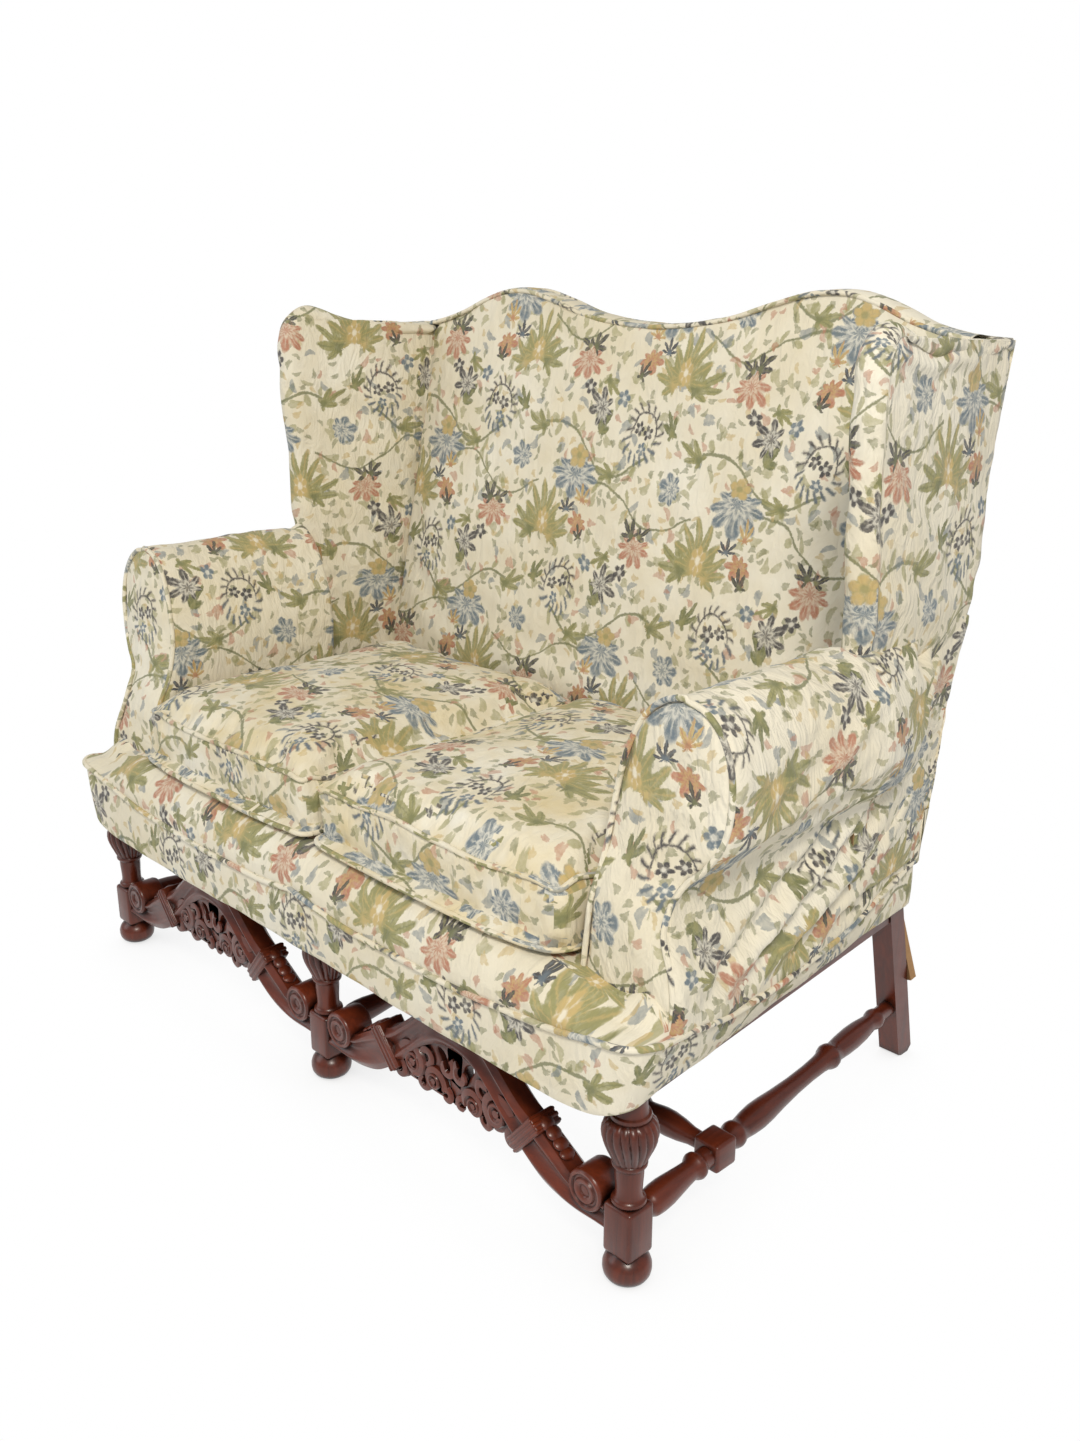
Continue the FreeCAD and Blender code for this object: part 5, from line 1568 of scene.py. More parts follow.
@dataclass
class Wire:
    """A value in a material that can be worked on with plain arithmetic."""

    tree: Tree
    socket: Socket

    def math(self, kind: str, *others: Wire | float, clamp: bool = False) -> Wire:
        """Return a Math node's result on this value and up to two others."""
        node = self.tree.nodes.new("ShaderNodeMath")
        node.operation = kind
        node.use_clamp = clamp
        self.tree.links.new(self.socket, node.inputs[0])
        for slot, other in zip(node.inputs[1:], others):
            if isinstance(other, Wire):
                self.tree.links.new(other.socket, slot)
            else:
                slot.default_value = float(other)
        return Wire(self.tree, node.outputs[0])

    def __add__(self, other: Wire | float) -> Wire:
        """Return the sum."""
        return self.math("ADD", other)

    __radd__ = __add__

    def __sub__(self, other: Wire | float) -> Wire:
        """Return the difference."""
        return self.math("SUBTRACT", other)

    def __rsub__(self, other: float) -> Wire:
        """Return a number less this value."""
        return self.math("MULTIPLY_ADD", -1.0, other)

    def __mul__(self, other: Wire | float) -> Wire:
        """Return the product."""
        return self.math("MULTIPLY", other)

    __rmul__ = __mul__

    def __truediv__(self, other: Wire | float) -> Wire:
        """Return the quotient."""
        return self.math("DIVIDE", other)

    def step(self, edge: Wire | float, soft: float) -> Wire:
        """Return 1 where this value is under an edge, fading over a soft width."""
        return ((edge - self) / soft + 0.5).clamped()

    def clamped(self) -> Wire:
        """Return this value held between 0 and 1."""
        return self.math("ADD", 0.0, clamp=True)


@dataclass
class Graph:
    """Adds the nodes of one tree."""

    tree: Tree

    def add(self, kind: str, **settings: object) -> Node:
        """Add a node with its settings."""
        node = self.tree.nodes.new(kind)
        for name, value in settings.items():
            setattr(node, name, value)
        return node

    def feed(self, node: Node, slot: str | int, value: object) -> None:
        """Set or link one input of a node."""
        socket = node.inputs[slot]
        if isinstance(value, Wire):
            self.tree.links.new(value.socket, socket)
        elif isinstance(value, Socket):
            self.tree.links.new(value, socket)
        else:
            socket.default_value = value

    @staticmethod
    def dial(node: Node, values: dict[str, object]) -> None:
        """Set several inputs of a node."""
        for slot, value in values.items():
            node.inputs[slot].default_value = value

    def wire(self, socket: Socket) -> Wire:
        """Wrap a socket."""
        return Wire(self.tree, socket)

    def split(self, vector: object) -> tuple[Wire, Wire, Wire]:
        """Return a vector's three parts."""
        node = self.add("ShaderNodeSeparateXYZ")
        self.feed(node, 0, vector)
        return self.wire(node.outputs[0]), self.wire(node.outputs[1]), self.wire(node.outputs[2])

    def noise(self, vector: object, scale: float, detail: float = 2.0, rough: float = 0.5) -> Node:
        """Add a noise texture."""
        node = self.add("ShaderNodeTexNoise")
        self.feed(node, "Vector", vector)
        self.dial(node, {"Scale": scale, "Detail": detail, "Roughness": rough})
        return node

    def mix(self, share: object, first: object, second: object) -> Socket:
        """Return two colours mixed by a share."""
        node = self.add("ShaderNodeMix", data_type="RGBA")
        self.feed(node, 0, share)
        for slot, value in ((6, first), (7, second)):
            self.feed(node, slot, (*value, 1.0) if isinstance(value, tuple) else value)
        return node.outputs[2]

    def vector(self, kind: str, first: object, second: object) -> Socket:
        """Return a Vector Math node's result."""
        node = self.add("ShaderNodeVectorMath", operation=kind)
        self.feed(node, 0, first)
        self.feed(node, 1, second)
        return node.outputs[0]

    def group(self, tree: Tree, **values: object) -> Node:
        """Add a group node with its inputs."""
        node = self.add("ShaderNodeGroup", node_tree=tree)
        for name, value in values.items():
            self.feed(node, name, value)
        return node


def new_group(name: str, inputs: Sequence[str], outputs: Sequence[str]) -> tuple[Graph, dict[str, Wire], Node]:
    """Start a node group of plain values.

    Args:
        name: The group's name.
        inputs: Names of its inputs.
        outputs: Names of its outputs.

    Returns:
        The group's graph, its inputs by name and its output node.
    """
    tree = bpy.data.node_groups.new(name, "ShaderNodeTree")
    for word in inputs:
        tree.interface.new_socket(word, in_out="INPUT", socket_type="NodeSocketFloat")
    for word in outputs:
        tree.interface.new_socket(word, in_out="OUTPUT", socket_type="NodeSocketFloat")
    graph = Graph(tree)
    start = graph.add("NodeGroupInput")
    end = graph.add("NodeGroupOutput")
    return graph, {word: graph.wire(start.outputs[word]) for word in inputs}, end


def new_material(name: str) -> tuple[Material, Graph, Node]:
    """Return a new material with its graph and its shader."""
    made = bpy.data.materials.new(name)
    made.use_nodes = True
    return made, Graph(made.node_tree), made.node_tree.nodes["Principled BSDF"]


class Motif(Enum):
    """The forms of the brocade's drawing."""

    PEONY = "peony"
    DAISY = "daisy"
    SPRAY = "spray"
    OVAL = "oval"


@dataclass(frozen=True)
class Sprig:
    """One motif of the brocade: its form, its place in the repeat, its size and its colours."""

    form: Motif
    x: float
    y: float
    size: float
    turn: float
    ink: Colour
    line: Colour
    petals: float = 8.0
    squash: float = 1.0
    depth: float = 0.45


@dataclass(frozen=True)
class Brocade:
    """The floral cover: cream ground, blue, rust, olive and slate threads in a half-drop repeat."""

    width: float = 0.345
    height: float = 0.270
    shift: float = 0.145
    ground: Colour = shade(221, 211, 186)
    pale: Colour = shade(234, 228, 211)
    stain: Colour = shade(206, 184, 126)
    blue: Colour = shade(112, 124, 131)
    olive: Colour = shade(153, 149, 103)
    moss: Colour = shade(120, 122, 86)
    rust: Colour = shade(180, 126, 102)
    slate: Colour = shade(84, 81, 80)
    ochre: Colour = shade(196, 172, 118)

    def sprigs(self) -> tuple[Sprig, ...]:
        """Return the motifs of one repeat, those at the back first."""
        e, p = self.olive, self.pale
        return (
            Sprig(Motif.SPRAY, 0.004, -0.102, 0.052, 136, e, self.ochre, 9, 0.8, 0.5),
            Sprig(Motif.SPRAY, 0.046, -0.104, 0.058, 36, e, self.moss, 9, 0.72, 0.55),
            Sprig(Motif.SPRAY, 0.022, -0.092, 0.078, 80, e, self.ochre, 13, 0.78, 0.5),
            Sprig(Motif.DAISY, 0.021, -0.080, 0.021, 90, self.ochre, p, 6, 0.7, 0.3),
            Sprig(Motif.SPRAY, 0.062, 0.066, 0.048, 28, e, self.moss, 7, 0.55, 0.6),
            Sprig(Motif.SPRAY, 0.124, 0.092, 0.042, 64, self.moss, e, 7, 0.5, 0.6),
            Sprig(Motif.SPRAY, 0.232, 0.018, 0.044, 12, e, self.moss, 7, 0.5, 0.6),
            Sprig(Motif.SPRAY, 0.204, -0.112, 0.040, -28, e, self.moss, 7, 0.5, 0.6),
            Sprig(Motif.SPRAY, -0.066, 0.080, 0.040, 120, self.moss, e, 5, 0.5, 0.6),
            Sprig(Motif.PEONY, -0.032, 0.010, 0.045, -90, self.blue, p, 9, 1.42, 0.36),
            Sprig(Motif.PEONY, -0.031, 0.026, 0.023, 90, self.blue, p, 7, 1.3, 0.3),
            Sprig(Motif.DAISY, -0.030, 0.034, 0.017, 90, self.ochre, e, 5, 1.3, 0.3),
            Sprig(Motif.PEONY, 0.100, 0.015, 0.031, 10, self.blue, p, 7, 1.0, 0.28),
            Sprig(Motif.OVAL, 0.186, 0.088, 0.050, 96, self.slate, self.blue, 17, 0.84, 0.5),
            Sprig(Motif.DAISY, 0.176, 0.090, 0.012, 0, self.slate, p, 5, 1.0, 0.5),
            Sprig(Motif.DAISY, 0.198, 0.096, 0.011, 40, self.slate, p, 5, 1.0, 0.5),
            Sprig(Motif.DAISY, 0.184, 0.066, 0.010, 40, self.blue, p, 5, 1.0, 0.5),
            Sprig(Motif.PEONY, 0.284, 0.112, 0.040, 35, self.slate, p, 7, 0.9, 0.6),
            Sprig(Motif.DAISY, 0.322, 0.142, 0.014, 0, self.slate, p, 5, 1.0, 0.5),
            Sprig(Motif.DAISY, 0.240, 0.136, 0.014, 30, self.blue, p, 5, 1.0, 0.4),
            Sprig(Motif.PEONY, 0.150, -0.084, 0.034, -82, self.rust, self.ground, 9, 1.25, 0.42),
            Sprig(Motif.SPRAY, 0.158, -0.066, 0.034, 46, self.slate, self.moss, 7, 0.75, 0.7),
            Sprig(Motif.SPRAY, 0.146, -0.066, 0.026, 150, self.slate, e, 5, 0.7, 0.7),
            Sprig(Motif.SPRAY, -0.028, -0.058, 0.026, 90, self.slate, self.blue, 9, 0.95, 0.75),
            Sprig(Motif.PEONY, 0.284, -0.072, 0.026, -60, self.rust, self.ochre, 7, 1.2, 0.45),
            Sprig(Motif.SPRAY, 0.276, -0.100, 0.028, 70, self.slate, self.moss, 7, 0.7, 0.7),
            Sprig(Motif.SPRAY, 0.286, -0.034, 0.030, 84, self.ochre, self.rust, 9, 0.8, 0.8),
        )

    def place_group(self) -> Tree:
        """Return the group that finds a motif's own coordinates within the half-drop repeat."""
        graph, at, end = new_group("Brocade place", ("X", "Y", "CX", "CY", "Turn", "Size", "Squash"), ("Far", "Angle"))
        dy = at["Y"] - at["CY"]
        row = (dy / self.height).math("ROUND")
        odd = (row * 0.5).math("FRACT") * 2.0
        x = at["X"] * (1.0 - odd * 2.0) + odd * self.shift - at["CX"]
        lx = x - (x / self.width).math("ROUND") * self.width
        ly = dy - row * self.height
        turn = at["Turn"]
        cos, sin = turn.math("COSINE"), turn.math("SINE")
        ax = (lx * cos + ly * sin) / at["Size"]
        ay = (ly * cos - lx * sin) / at["Size"] / at["Squash"]
        graph.feed(end, "Far", (ax * ax + ay * ay).math("SQRT"))
        graph.feed(end, "Angle", ay.math("ARCTAN2", ax))
        return graph.tree

    def form_group(self, form: Motif) -> Tree:
        """Return the group that draws one form of motif.

        Args:
            form: The form.

        Returns:
            A group that gives the ink and the inner line from the distance and the angle.
        """
        graph, at, end = new_group("Brocade " + form.value, ("Far", "Angle", "Petals", "Depth"), ("Ink", "Line"))
        far, angle, petals, depth = (at[word] for word in ("Far", "Angle", "Petals", "Depth"))
        soft = 0.09
        wave = (angle * petals).math("COSINE") * 0.5 + 0.5
        if form is Motif.PEONY:
            front = angle.math("COSINE") * 0.22 + 0.80
            edge = (1.0 - depth * (1.0 - wave.math("POWER", 0.6))) * front
            ink = far.step(edge, soft)
            inner = (far * 9.0 - wave * 1.6).math("SINE") * 0.5 + 0.5
            cuts = (1.0 - wave).math("POWER", 5.0) * (far - 0.25).math("MULTIPLY", 4.0, clamp=True)
            hatch = ((angle * petals * 3.0).math("COSINE") * 0.5 + 0.5).math("POWER", 4.0)
            heart = hatch * far.step(0.75, 0.3) * 0.7
            line = (inner.math("POWER", 5.0) * 0.9).math("MAXIMUM", cuts).math("MAXIMUM", heart)
        elif form is Motif.DAISY:
            edge = 1.0 - depth * (1.0 - wave.math("POWER", 0.5))
            ink = far.step(edge, 0.16)
            line = far.step(0.3, 0.2).math("MAXIMUM", (1.0 - wave).math("POWER", 6.0) * far)
        elif form is Motif.SPRAY:
            aim = (1.0 - angle * angle * 0.16).math("MAXIMUM", 0.12)
            edge = aim * (1.0 - depth * (1.0 - wave.math("POWER", 0.7)))
            ink = far.step(edge, soft)
            rib = ((angle * petals * 2.0).math("COSINE") * 0.5 + 0.5).math("POWER", 6.0)
            rib = rib * (far - 0.12).math("MULTIPLY", 6.0, clamp=True)
            line = (rib * 0.8).math("MAXIMUM", far.step(0.24, 0.2))
        else:
            ring = (far - 0.80 + (angle * 3.0).math("SINE") * 0.04).math("ABSOLUTE")
            swirl = (angle * petals + far * 9.0).math("COSINE") * 0.5 + 0.5
            rim = (far - 0.66).math("ABSOLUTE").step(0.035, 0.05)
            rim = rim * (angle.math("COSINE") + 0.4).math("MULTIPLY", 2.0, clamp=True)
            ink = (ring.step(0.18, 0.08) * swirl.math("POWER", 3.0)).math("MAXIMUM", rim)
            line = (angle.math("COSINE") * -2.2 - 0.1).clamped()
        graph.feed(end, "Ink", ink)
        graph.feed(end, "Line", line * ink)
        return graph.tree

    def garland_group(self) -> Tree:
        """Return the group that draws the olive stems and their leaves."""
        graph, at, end = new_group("Brocade garland", ("X", "Y", "CY", "Rise", "Phase", "Thick", "Pitch"), ("Stem",
                                                                                                            "Leaf"))
        dy = at["Y"] - at["CY"]
        row = (dy / self.height).math("ROUND")
        odd = (row * 0.5).math("FRACT") * 2.0
        x = at["X"] * (1.0 - odd * 2.0) + odd * self.shift
        ly = dy - row * self.height
        turn = x * (2 * math.pi / self.width) + at["Phase"]
        height = turn.math("SINE") * at["Rise"] + (turn * 2.0 + 1.0).math("SINE") * at["Rise"] * 0.35
        gap = ly - height
        breaks = (turn * 1.0 + 2.2).math("SINE").math("GREATER_THAN", -0.55)
        stem = gap.math("ABSOLUTE").step(at["Thick"], 0.0016) * breaks
        cell = x / at["Pitch"]
        number = cell.math("FLOOR")
        up = (number * 0.5).math("FRACT") * 4.0 - 1.0
        lx = (cell - number - 0.5) * at["Pitch"]
        ly2 = (gap - up * at["Pitch"] * 0.42)
        lean_x = lx - up * ly2 * 0.55
        lean_y = ly2 + up * lx * 0.35
        leaf = ((lean_x * lean_x) / (at["Pitch"] * at["Pitch"] * 0.052)
                + (lean_y * lean_y) / (at["Pitch"] * at["Pitch"] * 0.15)).step(1.0, 0.5) * breaks
        graph.feed(end, "Stem", stem)
        graph.feed(end, "Leaf", leaf)
        return graph.tree

    def cloth_group(self) -> Tree:
        """Return the whole brocade: colour and thread height from cloth lengths and a place."""
        tree = bpy.data.node_groups.new("Settee brocade", "ShaderNodeTree")
        tree.interface.new_socket("Cloth", in_out="INPUT", socket_type="NodeSocketVector")
        tree.interface.new_socket("Place", in_out="INPUT", socket_type="NodeSocketVector")
        tree.interface.new_socket("Stain", in_out="INPUT", socket_type="NodeSocketFloat")
        tree.interface.new_socket("Colour", in_out="OUTPUT", socket_type="NodeSocketColor")
        tree.interface.new_socket("Thread", in_out="OUTPUT", socket_type="NodeSocketFloat")
        graph = Graph(tree)
        start = graph.add("NodeGroupInput")
        end = graph.add("NodeGroupOutput")
        cloth = start.outputs["Cloth"]
        ragged = graph.noise(cloth, 260.0, 2.0, 0.6)
        middle = (0.5, 0.5, 0.5)
        nudge = graph.vector("MULTIPLY", graph.vector("SUBTRACT", ragged.outputs["Color"], middle), (0.005, 0.005, 0))
        sway = graph.noise(cloth, 14.0, 1.0, 0.5)
        drift = graph.vector("MULTIPLY", graph.vector("SUBTRACT", sway.outputs["Color"], middle), (0.022, 0.022, 0))
        moved = graph.vector("ADD", graph.vector("ADD", cloth, nudge), drift)
        x, y, _ = graph.split(moved)
        patch = graph.wire(graph.noise(start.outputs["Place"], 3.2, 3.0, 0.55).outputs[0])
        blot = graph.wire(graph.noise(start.outputs["Place"], 11.0, 3.0, 0.6).outputs[0])
        fine = graph.wire(graph.noise(cloth, 90.0, 3.0, 0.7).outputs[0])
        colour = graph.mix((patch * 2.6 - 0.9).clamped(), self.pale, self.ground)
        stain = ((blot * 1.6 - 0.55).clamped() * graph.wire(start.outputs["Stain"]))
        colour = graph.mix(stain.clamped(), colour, self.stain)
        thread = fine * 0.25
        place = self.place_group()
        garland = self.garland_group()
        for row, rise, phase, thick, pitch in ((0.055, 0.030, 0.4, 0.0026, 0.030), (-0.020, 0.026, 2.6, 0.0020, 0.025)):
            node = graph.group(garland, X=x, Y=y, CY=row, Rise=rise, Phase=phase, Thick=thick, Pitch=pitch)
            stem, leaf = graph.wire(node.outputs[0]), graph.wire(node.outputs[1])
            colour = graph.mix(leaf * (fine * 0.8 + 0.3).math("MULTIPLY", 1.0, clamp=True), colour, self.olive)
            colour = graph.mix(stem * 0.85, colour, self.moss)
            thread = thread + leaf * 0.3
        for pitch, first, second, size in ((30.0, self.olive, self.blue, 0.36), (43.0, self.moss, self.ochre, 0.34)):
            cell = graph.add("ShaderNodeTexVoronoi", voronoi_dimensions="2D")
            graph.feed(cell, "Vector", moved)
            graph.dial(cell, {"Scale": pitch, "Randomness": 0.85})
            gap = graph.vector("SUBTRACT", moved, cell.outputs["Position"])
            dx, dy, _ = graph.split(graph.vector("MULTIPLY", gap, (pitch, pitch, 0)))
            lot, way, pick = graph.split(cell.outputs["Color"])
            angle = way * 6.3
            cos, sin = angle.math("COSINE"), angle.math("SINE")
            ax = (dx * cos + dy * sin) / size
            ay = (dy * cos - dx * sin) / size + ax * ax * 0.35
            leaf = (ax * ax + ay * ay * 7.0).step(1.0, 0.4) * lot.math("GREATER_THAN", 0.30)
            twin = ((ax - 0.3) * (ax - 0.3) * 2.0 + (ay - 0.5) * (ay - 0.5) * 12.0).step(1.0, 0.4)
            twin = twin * lot.math("GREATER_THAN", 0.55)
            tint = graph.mix(pick.math("GREATER_THAN", 0.72), first, second)
            tint = graph.mix(pick.math("LESS_THAN", 0.14), tint, self.rust)
            worn = (fine * 0.9 + 0.12).math("MULTIPLY", 1.0, clamp=True)
            colour = graph.mix(leaf.math("MAXIMUM", twin) * worn, colour, tint)
            thread = thread + leaf * 0.2
        forms = {form: self.form_group(form) for form in Motif}
        for sprig in self.sprigs():
            here_x, here_y = thread.math("MULTIPLY_ADD", 1e-7, x), thread.math("MULTIPLY_ADD", 1e-7, y)
            spot = graph.group(place, X=here_x, Y=here_y, CX=sprig.x, CY=sprig.y, Turn=math.radians(sprig.turn),
                               Size=sprig.size,
                               Squash=sprig.squash)
            node = graph.group(forms[sprig.form], Far=spot.outputs[0], Angle=spot.outputs[1], Petals=sprig.petals,
                               Depth=sprig.depth)
            ink, line = graph.wire(node.outputs[0]), graph.wire(node.outputs[1])
            worn = (fine * 1.1 + 0.38).math("MULTIPLY", 1.0, clamp=True)
            colour = graph.mix(ink * worn, colour, sprig.ink)
            colour = graph.mix(line * 0.75, colour, sprig.line)
            thread = thread + ink * 0.35 - line * 0.2
        graph.feed(end, "Colour", colour)
        graph.feed(end, "Thread", thread)
        return tree


@dataclass(frozen=True)
class CoverFinish:
    """How the brocade lies on one part of the settee."""

    name: str
    shift: Pair = (0.0, 0.0)
    turn: float = 0.0
    stain: float = 0.35
    drag: float = 35.0
    pucker: float = 0.5
    roughness: float = 0.86

    def material(self, cloth: Tree) -> Material:
        """Return the finish as a material.

        Args:
            cloth: The brocade's group.

        Returns:
            The material, on the piece's own cloth lengths.
        """
        made, graph, shader = new_material(self.name)
        lengths = graph.add("ShaderNodeUVMap", uv_map="Cloth")
        mapping = graph.add("ShaderNodeMapping")
        graph.feed(mapping, 0, lengths.outputs[0])
        graph.dial(mapping, {"Location": (*self.shift, 0), "Rotation": (0, 0, math.radians(self.turn))})
        place = graph.add("ShaderNodeTexCoord").outputs["Object"]
        node = graph.group(cloth, Cloth=mapping.outputs[0], Place=place, Stain=self.stain)
        graph.feed(shader, "Base Color", node.outputs[0])
        graph.dial(shader, {"Roughness": self.roughness, "Specular IOR Level": 0.18, "Sheen Weight": 0.12,
                            "Sheen Roughness": 0.5})
        weave = graph.noise(graph.vector("MULTIPLY", mapping.outputs[0], (1.0, 0.35, 1.0)), 900.0, 2.0, 0.6)
        creases = graph.add("ShaderNodeMapping")
        graph.feed(creases, 0, mapping.outputs[0])
        graph.dial(creases, {"Rotation": (0, 0, math.radians(self.drag)), "Scale": (1.0, 0.42, 1.0)})
        pucker = graph.noise(creases.outputs[0], 34.0, 3.0, 0.62)
        pucker.inputs["Distortion"].default_value = 0.8
        soft = graph.add("ShaderNodeBump")
        graph.dial(soft, {"Strength": self.pucker, "Distance": 0.014})
        graph.feed(soft, "Height", pucker.outputs[0])
        bump = graph.add("ShaderNodeBump")
        graph.dial(bump, {"Strength": 0.45, "Distance": 0.0014})
        graph.feed(bump, "Height", weave.outputs[0])
        graph.feed(bump, "Normal", soft.outputs[0])
        graph.feed(shader, "Normal", bump.outputs[0])
        return made


@dataclass(frozen=True)
class WoodFinish:
    """A wood with its grain one way."""

    name: str
    light: Colour
    dark: Colour
    grain: Grain = Grain.UPRIGHT
    roughness: float = 0.34
    coat: float = 0.22
    stretch: float = 14.0

    def material(self) -> Material:
        """Return the finish as a material on the piece's own place, its hollows darkened by painted shade that also
        stands for patina.
        """
        made, graph, shader = new_material(self.name)
        place = graph.add("ShaderNodeTexCoord").outputs["Object"]
        scale = [1.0, 1.0, 1.0]
        scale[self.grain.value] = 1 / self.stretch
        drawn = graph.vector("MULTIPLY", place, tuple(scale))
        streak = graph.noise(drawn, 130.0, 6.0, 0.62)
        streak.inputs["Distortion"].default_value = 0.6
        broad = graph.noise(drawn, 26.0, 3.0, 0.55)
        share = (graph.wire(streak.outputs[0]) * 0.9 + graph.wire(broad.outputs[0]) * 0.9 - 0.42).clamped()
        colour = graph.mix(share, self.dark, self.light)
        # Darkens the hollows by occlusion: painted shade in the crevices of the carving and turning, also standing for
        # the patina there.
        hollow = graph.add("ShaderNodeAmbientOcclusion", samples=6)
        hollow.inputs["Distance"].default_value = 0.014
        hollow_shade_and_patina = (1.0 - graph.wire(hollow.outputs["AO"])) * 1.5
        colour = graph.mix(hollow_shade_and_patina.clamped(), colour, tuple(c * 0.16 for c in self.dark))
        wear = graph.noise(place, 60.0, 4.0, 0.6)
        graph.feed(shader, "Base Color", colour)
        graph.feed(shader, "Roughness", graph.wire(wear.outputs[0]) * 0.22 + (self.roughness - 0.1))
        graph.dial(shader, {"Coat Weight": self.coat, "Coat Roughness": 0.22, "Specular IOR Level": 0.4})
        bump = graph.add("ShaderNodeBump")
        graph.dial(bump, {"Strength": 0.16, "Distance": 0.0008})
        graph.feed(bump, "Height", graph.wire(streak.outputs[0]) + graph.wire(wear.outputs[0]) * 0.6)
        graph.feed(shader, "Normal", bump.outputs[0])
        return made


@dataclass(frozen=True)
class PlainFinish:
    """A plain hidden stuff, such as lining, webbing, foam or steel."""

    name: str
    first: Colour
    second: Colour
    scale: float
    roughness: float
    metal: float = 0.0

    def material(self) -> Material:
        """Return the finish as a material on the piece's own place."""
        made, graph, shader = new_material(self.name)
        place = graph.add("ShaderNodeTexCoord").outputs["Object"]
        grain = graph.noise(place, self.scale, 4.0, 0.6)
        graph.feed(shader, "Base Color", graph.mix(graph.wire(grain.outputs[0]), self.first, self.second))
        graph.dial(shader, {"Roughness": self.roughness, "Metallic": self.metal})
        bump = graph.add("ShaderNodeBump")
        graph.dial(bump, {"Strength": 0.2, "Distance": 0.001})
        graph.feed(bump, "Height", grain.outputs[0])
        graph.feed(shader, "Normal", bump.outputs[0])
        return made


def dress(obj: Piece, material: Material) -> Piece:
    """Give every face of an object one material."""
    obj.data.materials.clear()
    obj.data.materials.append(material)
    return obj


@dataclass
class Studio:
    """The pale floor, the backdrop's light, the lamps and the camera."""

    focal: float = 1326.7
    tall: float = 1441.0
    spot: Point = (1463.9, -978.0, 1127.6)
    turn: float = 46.02
    dip: float = 18.22

    def floor(self) -> Piece:
        """Return the floor, glowing white for the camera and dimmed by occlusion round the settee as painted shade."""
        Bench.clear()
        bpy.ops.mesh.primitive_plane_add(size=60, location=(0, 0, 0))
        obj = bpy.context.object
        obj.name = "studio_floor"
        made, graph, shader = new_material("Studio floor")
        tree = made.node_tree
        shader.inputs["Roughness"].default_value = 0.9
        place = graph.add("ShaderNodeTexCoord").outputs["Object"]
        speck = graph.noise(place, 3.0, 2.0, 0.5)
        graph.feed(shader, "Base Color", graph.mix(graph.wire(speck.outputs[0]), (0.80, 0.80, 0.80), (0.84, 0.84,
                                                                                                      0.84)))
        glow = graph.add("ShaderNodeEmission")
        glow.inputs["Strength"].default_value = 1.0
        mixer = graph.add("ShaderNodeMixShader")
        rays = graph.add("ShaderNodeLightPath")
        # Dims the floor's white glow by occlusion near the settee: painted shade round and under it.
        hollow = graph.add("ShaderNodeAmbientOcclusion", samples=12)
        hollow.inputs["Distance"].default_value = 0.20
        open_floor = (graph.wire(hollow.outputs["AO"]) * 1.4 - 0.2).clamped()
        seen = graph.wire(rays.outputs["Is Camera Ray"]).math("MAXIMUM", graph.wire(rays.outputs["Is Glossy Ray"]))
        graph.feed(mixer, 0, seen * (open_floor * 0.34 + 0.66))
        tree.links.new(shader.outputs[0], mixer.inputs[1])
        tree.links.new(glow.outputs[0], mixer.inputs[2])
        tree.links.new(mixer.outputs[0], tree.nodes["Material Output"].inputs["Surface"])
        dress(obj, made)
        return obj

    def sky(self) -> None:
        """Set the world: even light on the settee and plain white behind it."""
        world = bpy.data.worlds.new("Studio")
        bpy.context.scene.world = world
        world.use_nodes = True
        graph = Graph(world.node_tree)
        even = world.node_tree.nodes["Background"]
        graph.dial(even, {"Color": (0.93, 0.96, 1.0, 1), "Strength": 0.50})
        white = graph.add("ShaderNodeBackground")
        graph.dial(white, {"Strength": 1.0, "Color": (1, 1, 1, 1)})
        rays = graph.add("ShaderNodeLightPath")
        seen = graph.wire(rays.outputs["Is Camera Ray"]).math("MAXIMUM",
                                                              graph.wire(rays.outputs["Is Transmission Ray"]))
        mixer = graph.add("ShaderNodeMixShader")
        graph.feed(mixer, 0, seen)
        world.node_tree.links.new(even.outputs[0], mixer.inputs[1])
        world.node_tree.links.new(white.outputs[0], mixer.inputs[2])
        world.node_tree.links.new(mixer.outputs[0], world.node_tree.nodes["World Output"].inputs["Surface"])

    def lamp(self, name: str, spot: Point, aim: Point, size: float, power: float, colour: Colour) -> None:
        """Add one soft lamp."""
        data = bpy.data.lights.new(name, "AREA")
        data.shape = "DISK"
        data.size = size
        data.energy = power
        data.color = colour
        obj = bpy.data.objects.new(name, data)
        obj.location = spot
        obj.rotation_euler = (Vector(aim) - Vector(spot)).to_track_quat("-Z", "Y").to_euler()
        bpy.context.scene.collection.objects.link(obj)

    def camera(self, place: Place) -> None:
        """Set the camera where the photograph was taken."""
        data = bpy.data.cameras.new("Camera")
        data.sensor_fit = "VERTICAL"
        data.sensor_height = 36.0
        data.lens = self.focal / self.tall * 36.0
        data.clip_start = 0.05
        obj = bpy.data.objects.new("Camera", data)
        obj.location = place.point(*self.spot)
        obj.rotation_euler = (math.radians(90 - self.dip), 0, math.radians(self.turn))
        bpy.context.scene.collection.objects.link(obj)
        bpy.context.scene.camera = obj

    def set_up(self, place: Place) -> None:
        """Set up the camera, the floor and the light."""
        self.camera(place)
        self.floor()
        self.sky()
        self.lamp("Key lamp", (2.6, -2.2, 3.4), (0, 0, 0.5), 0.9, 120.0, (1.0, 0.95, 0.86))
        self.lamp("Fill lamp", (-2.6, -2.8, 2.2), (0, 0, 0.6), 2.4, 30.0, (0.92, 0.96, 1.0))
        scene = bpy.context.scene
        scene.view_settings.view_transform = "Standard"


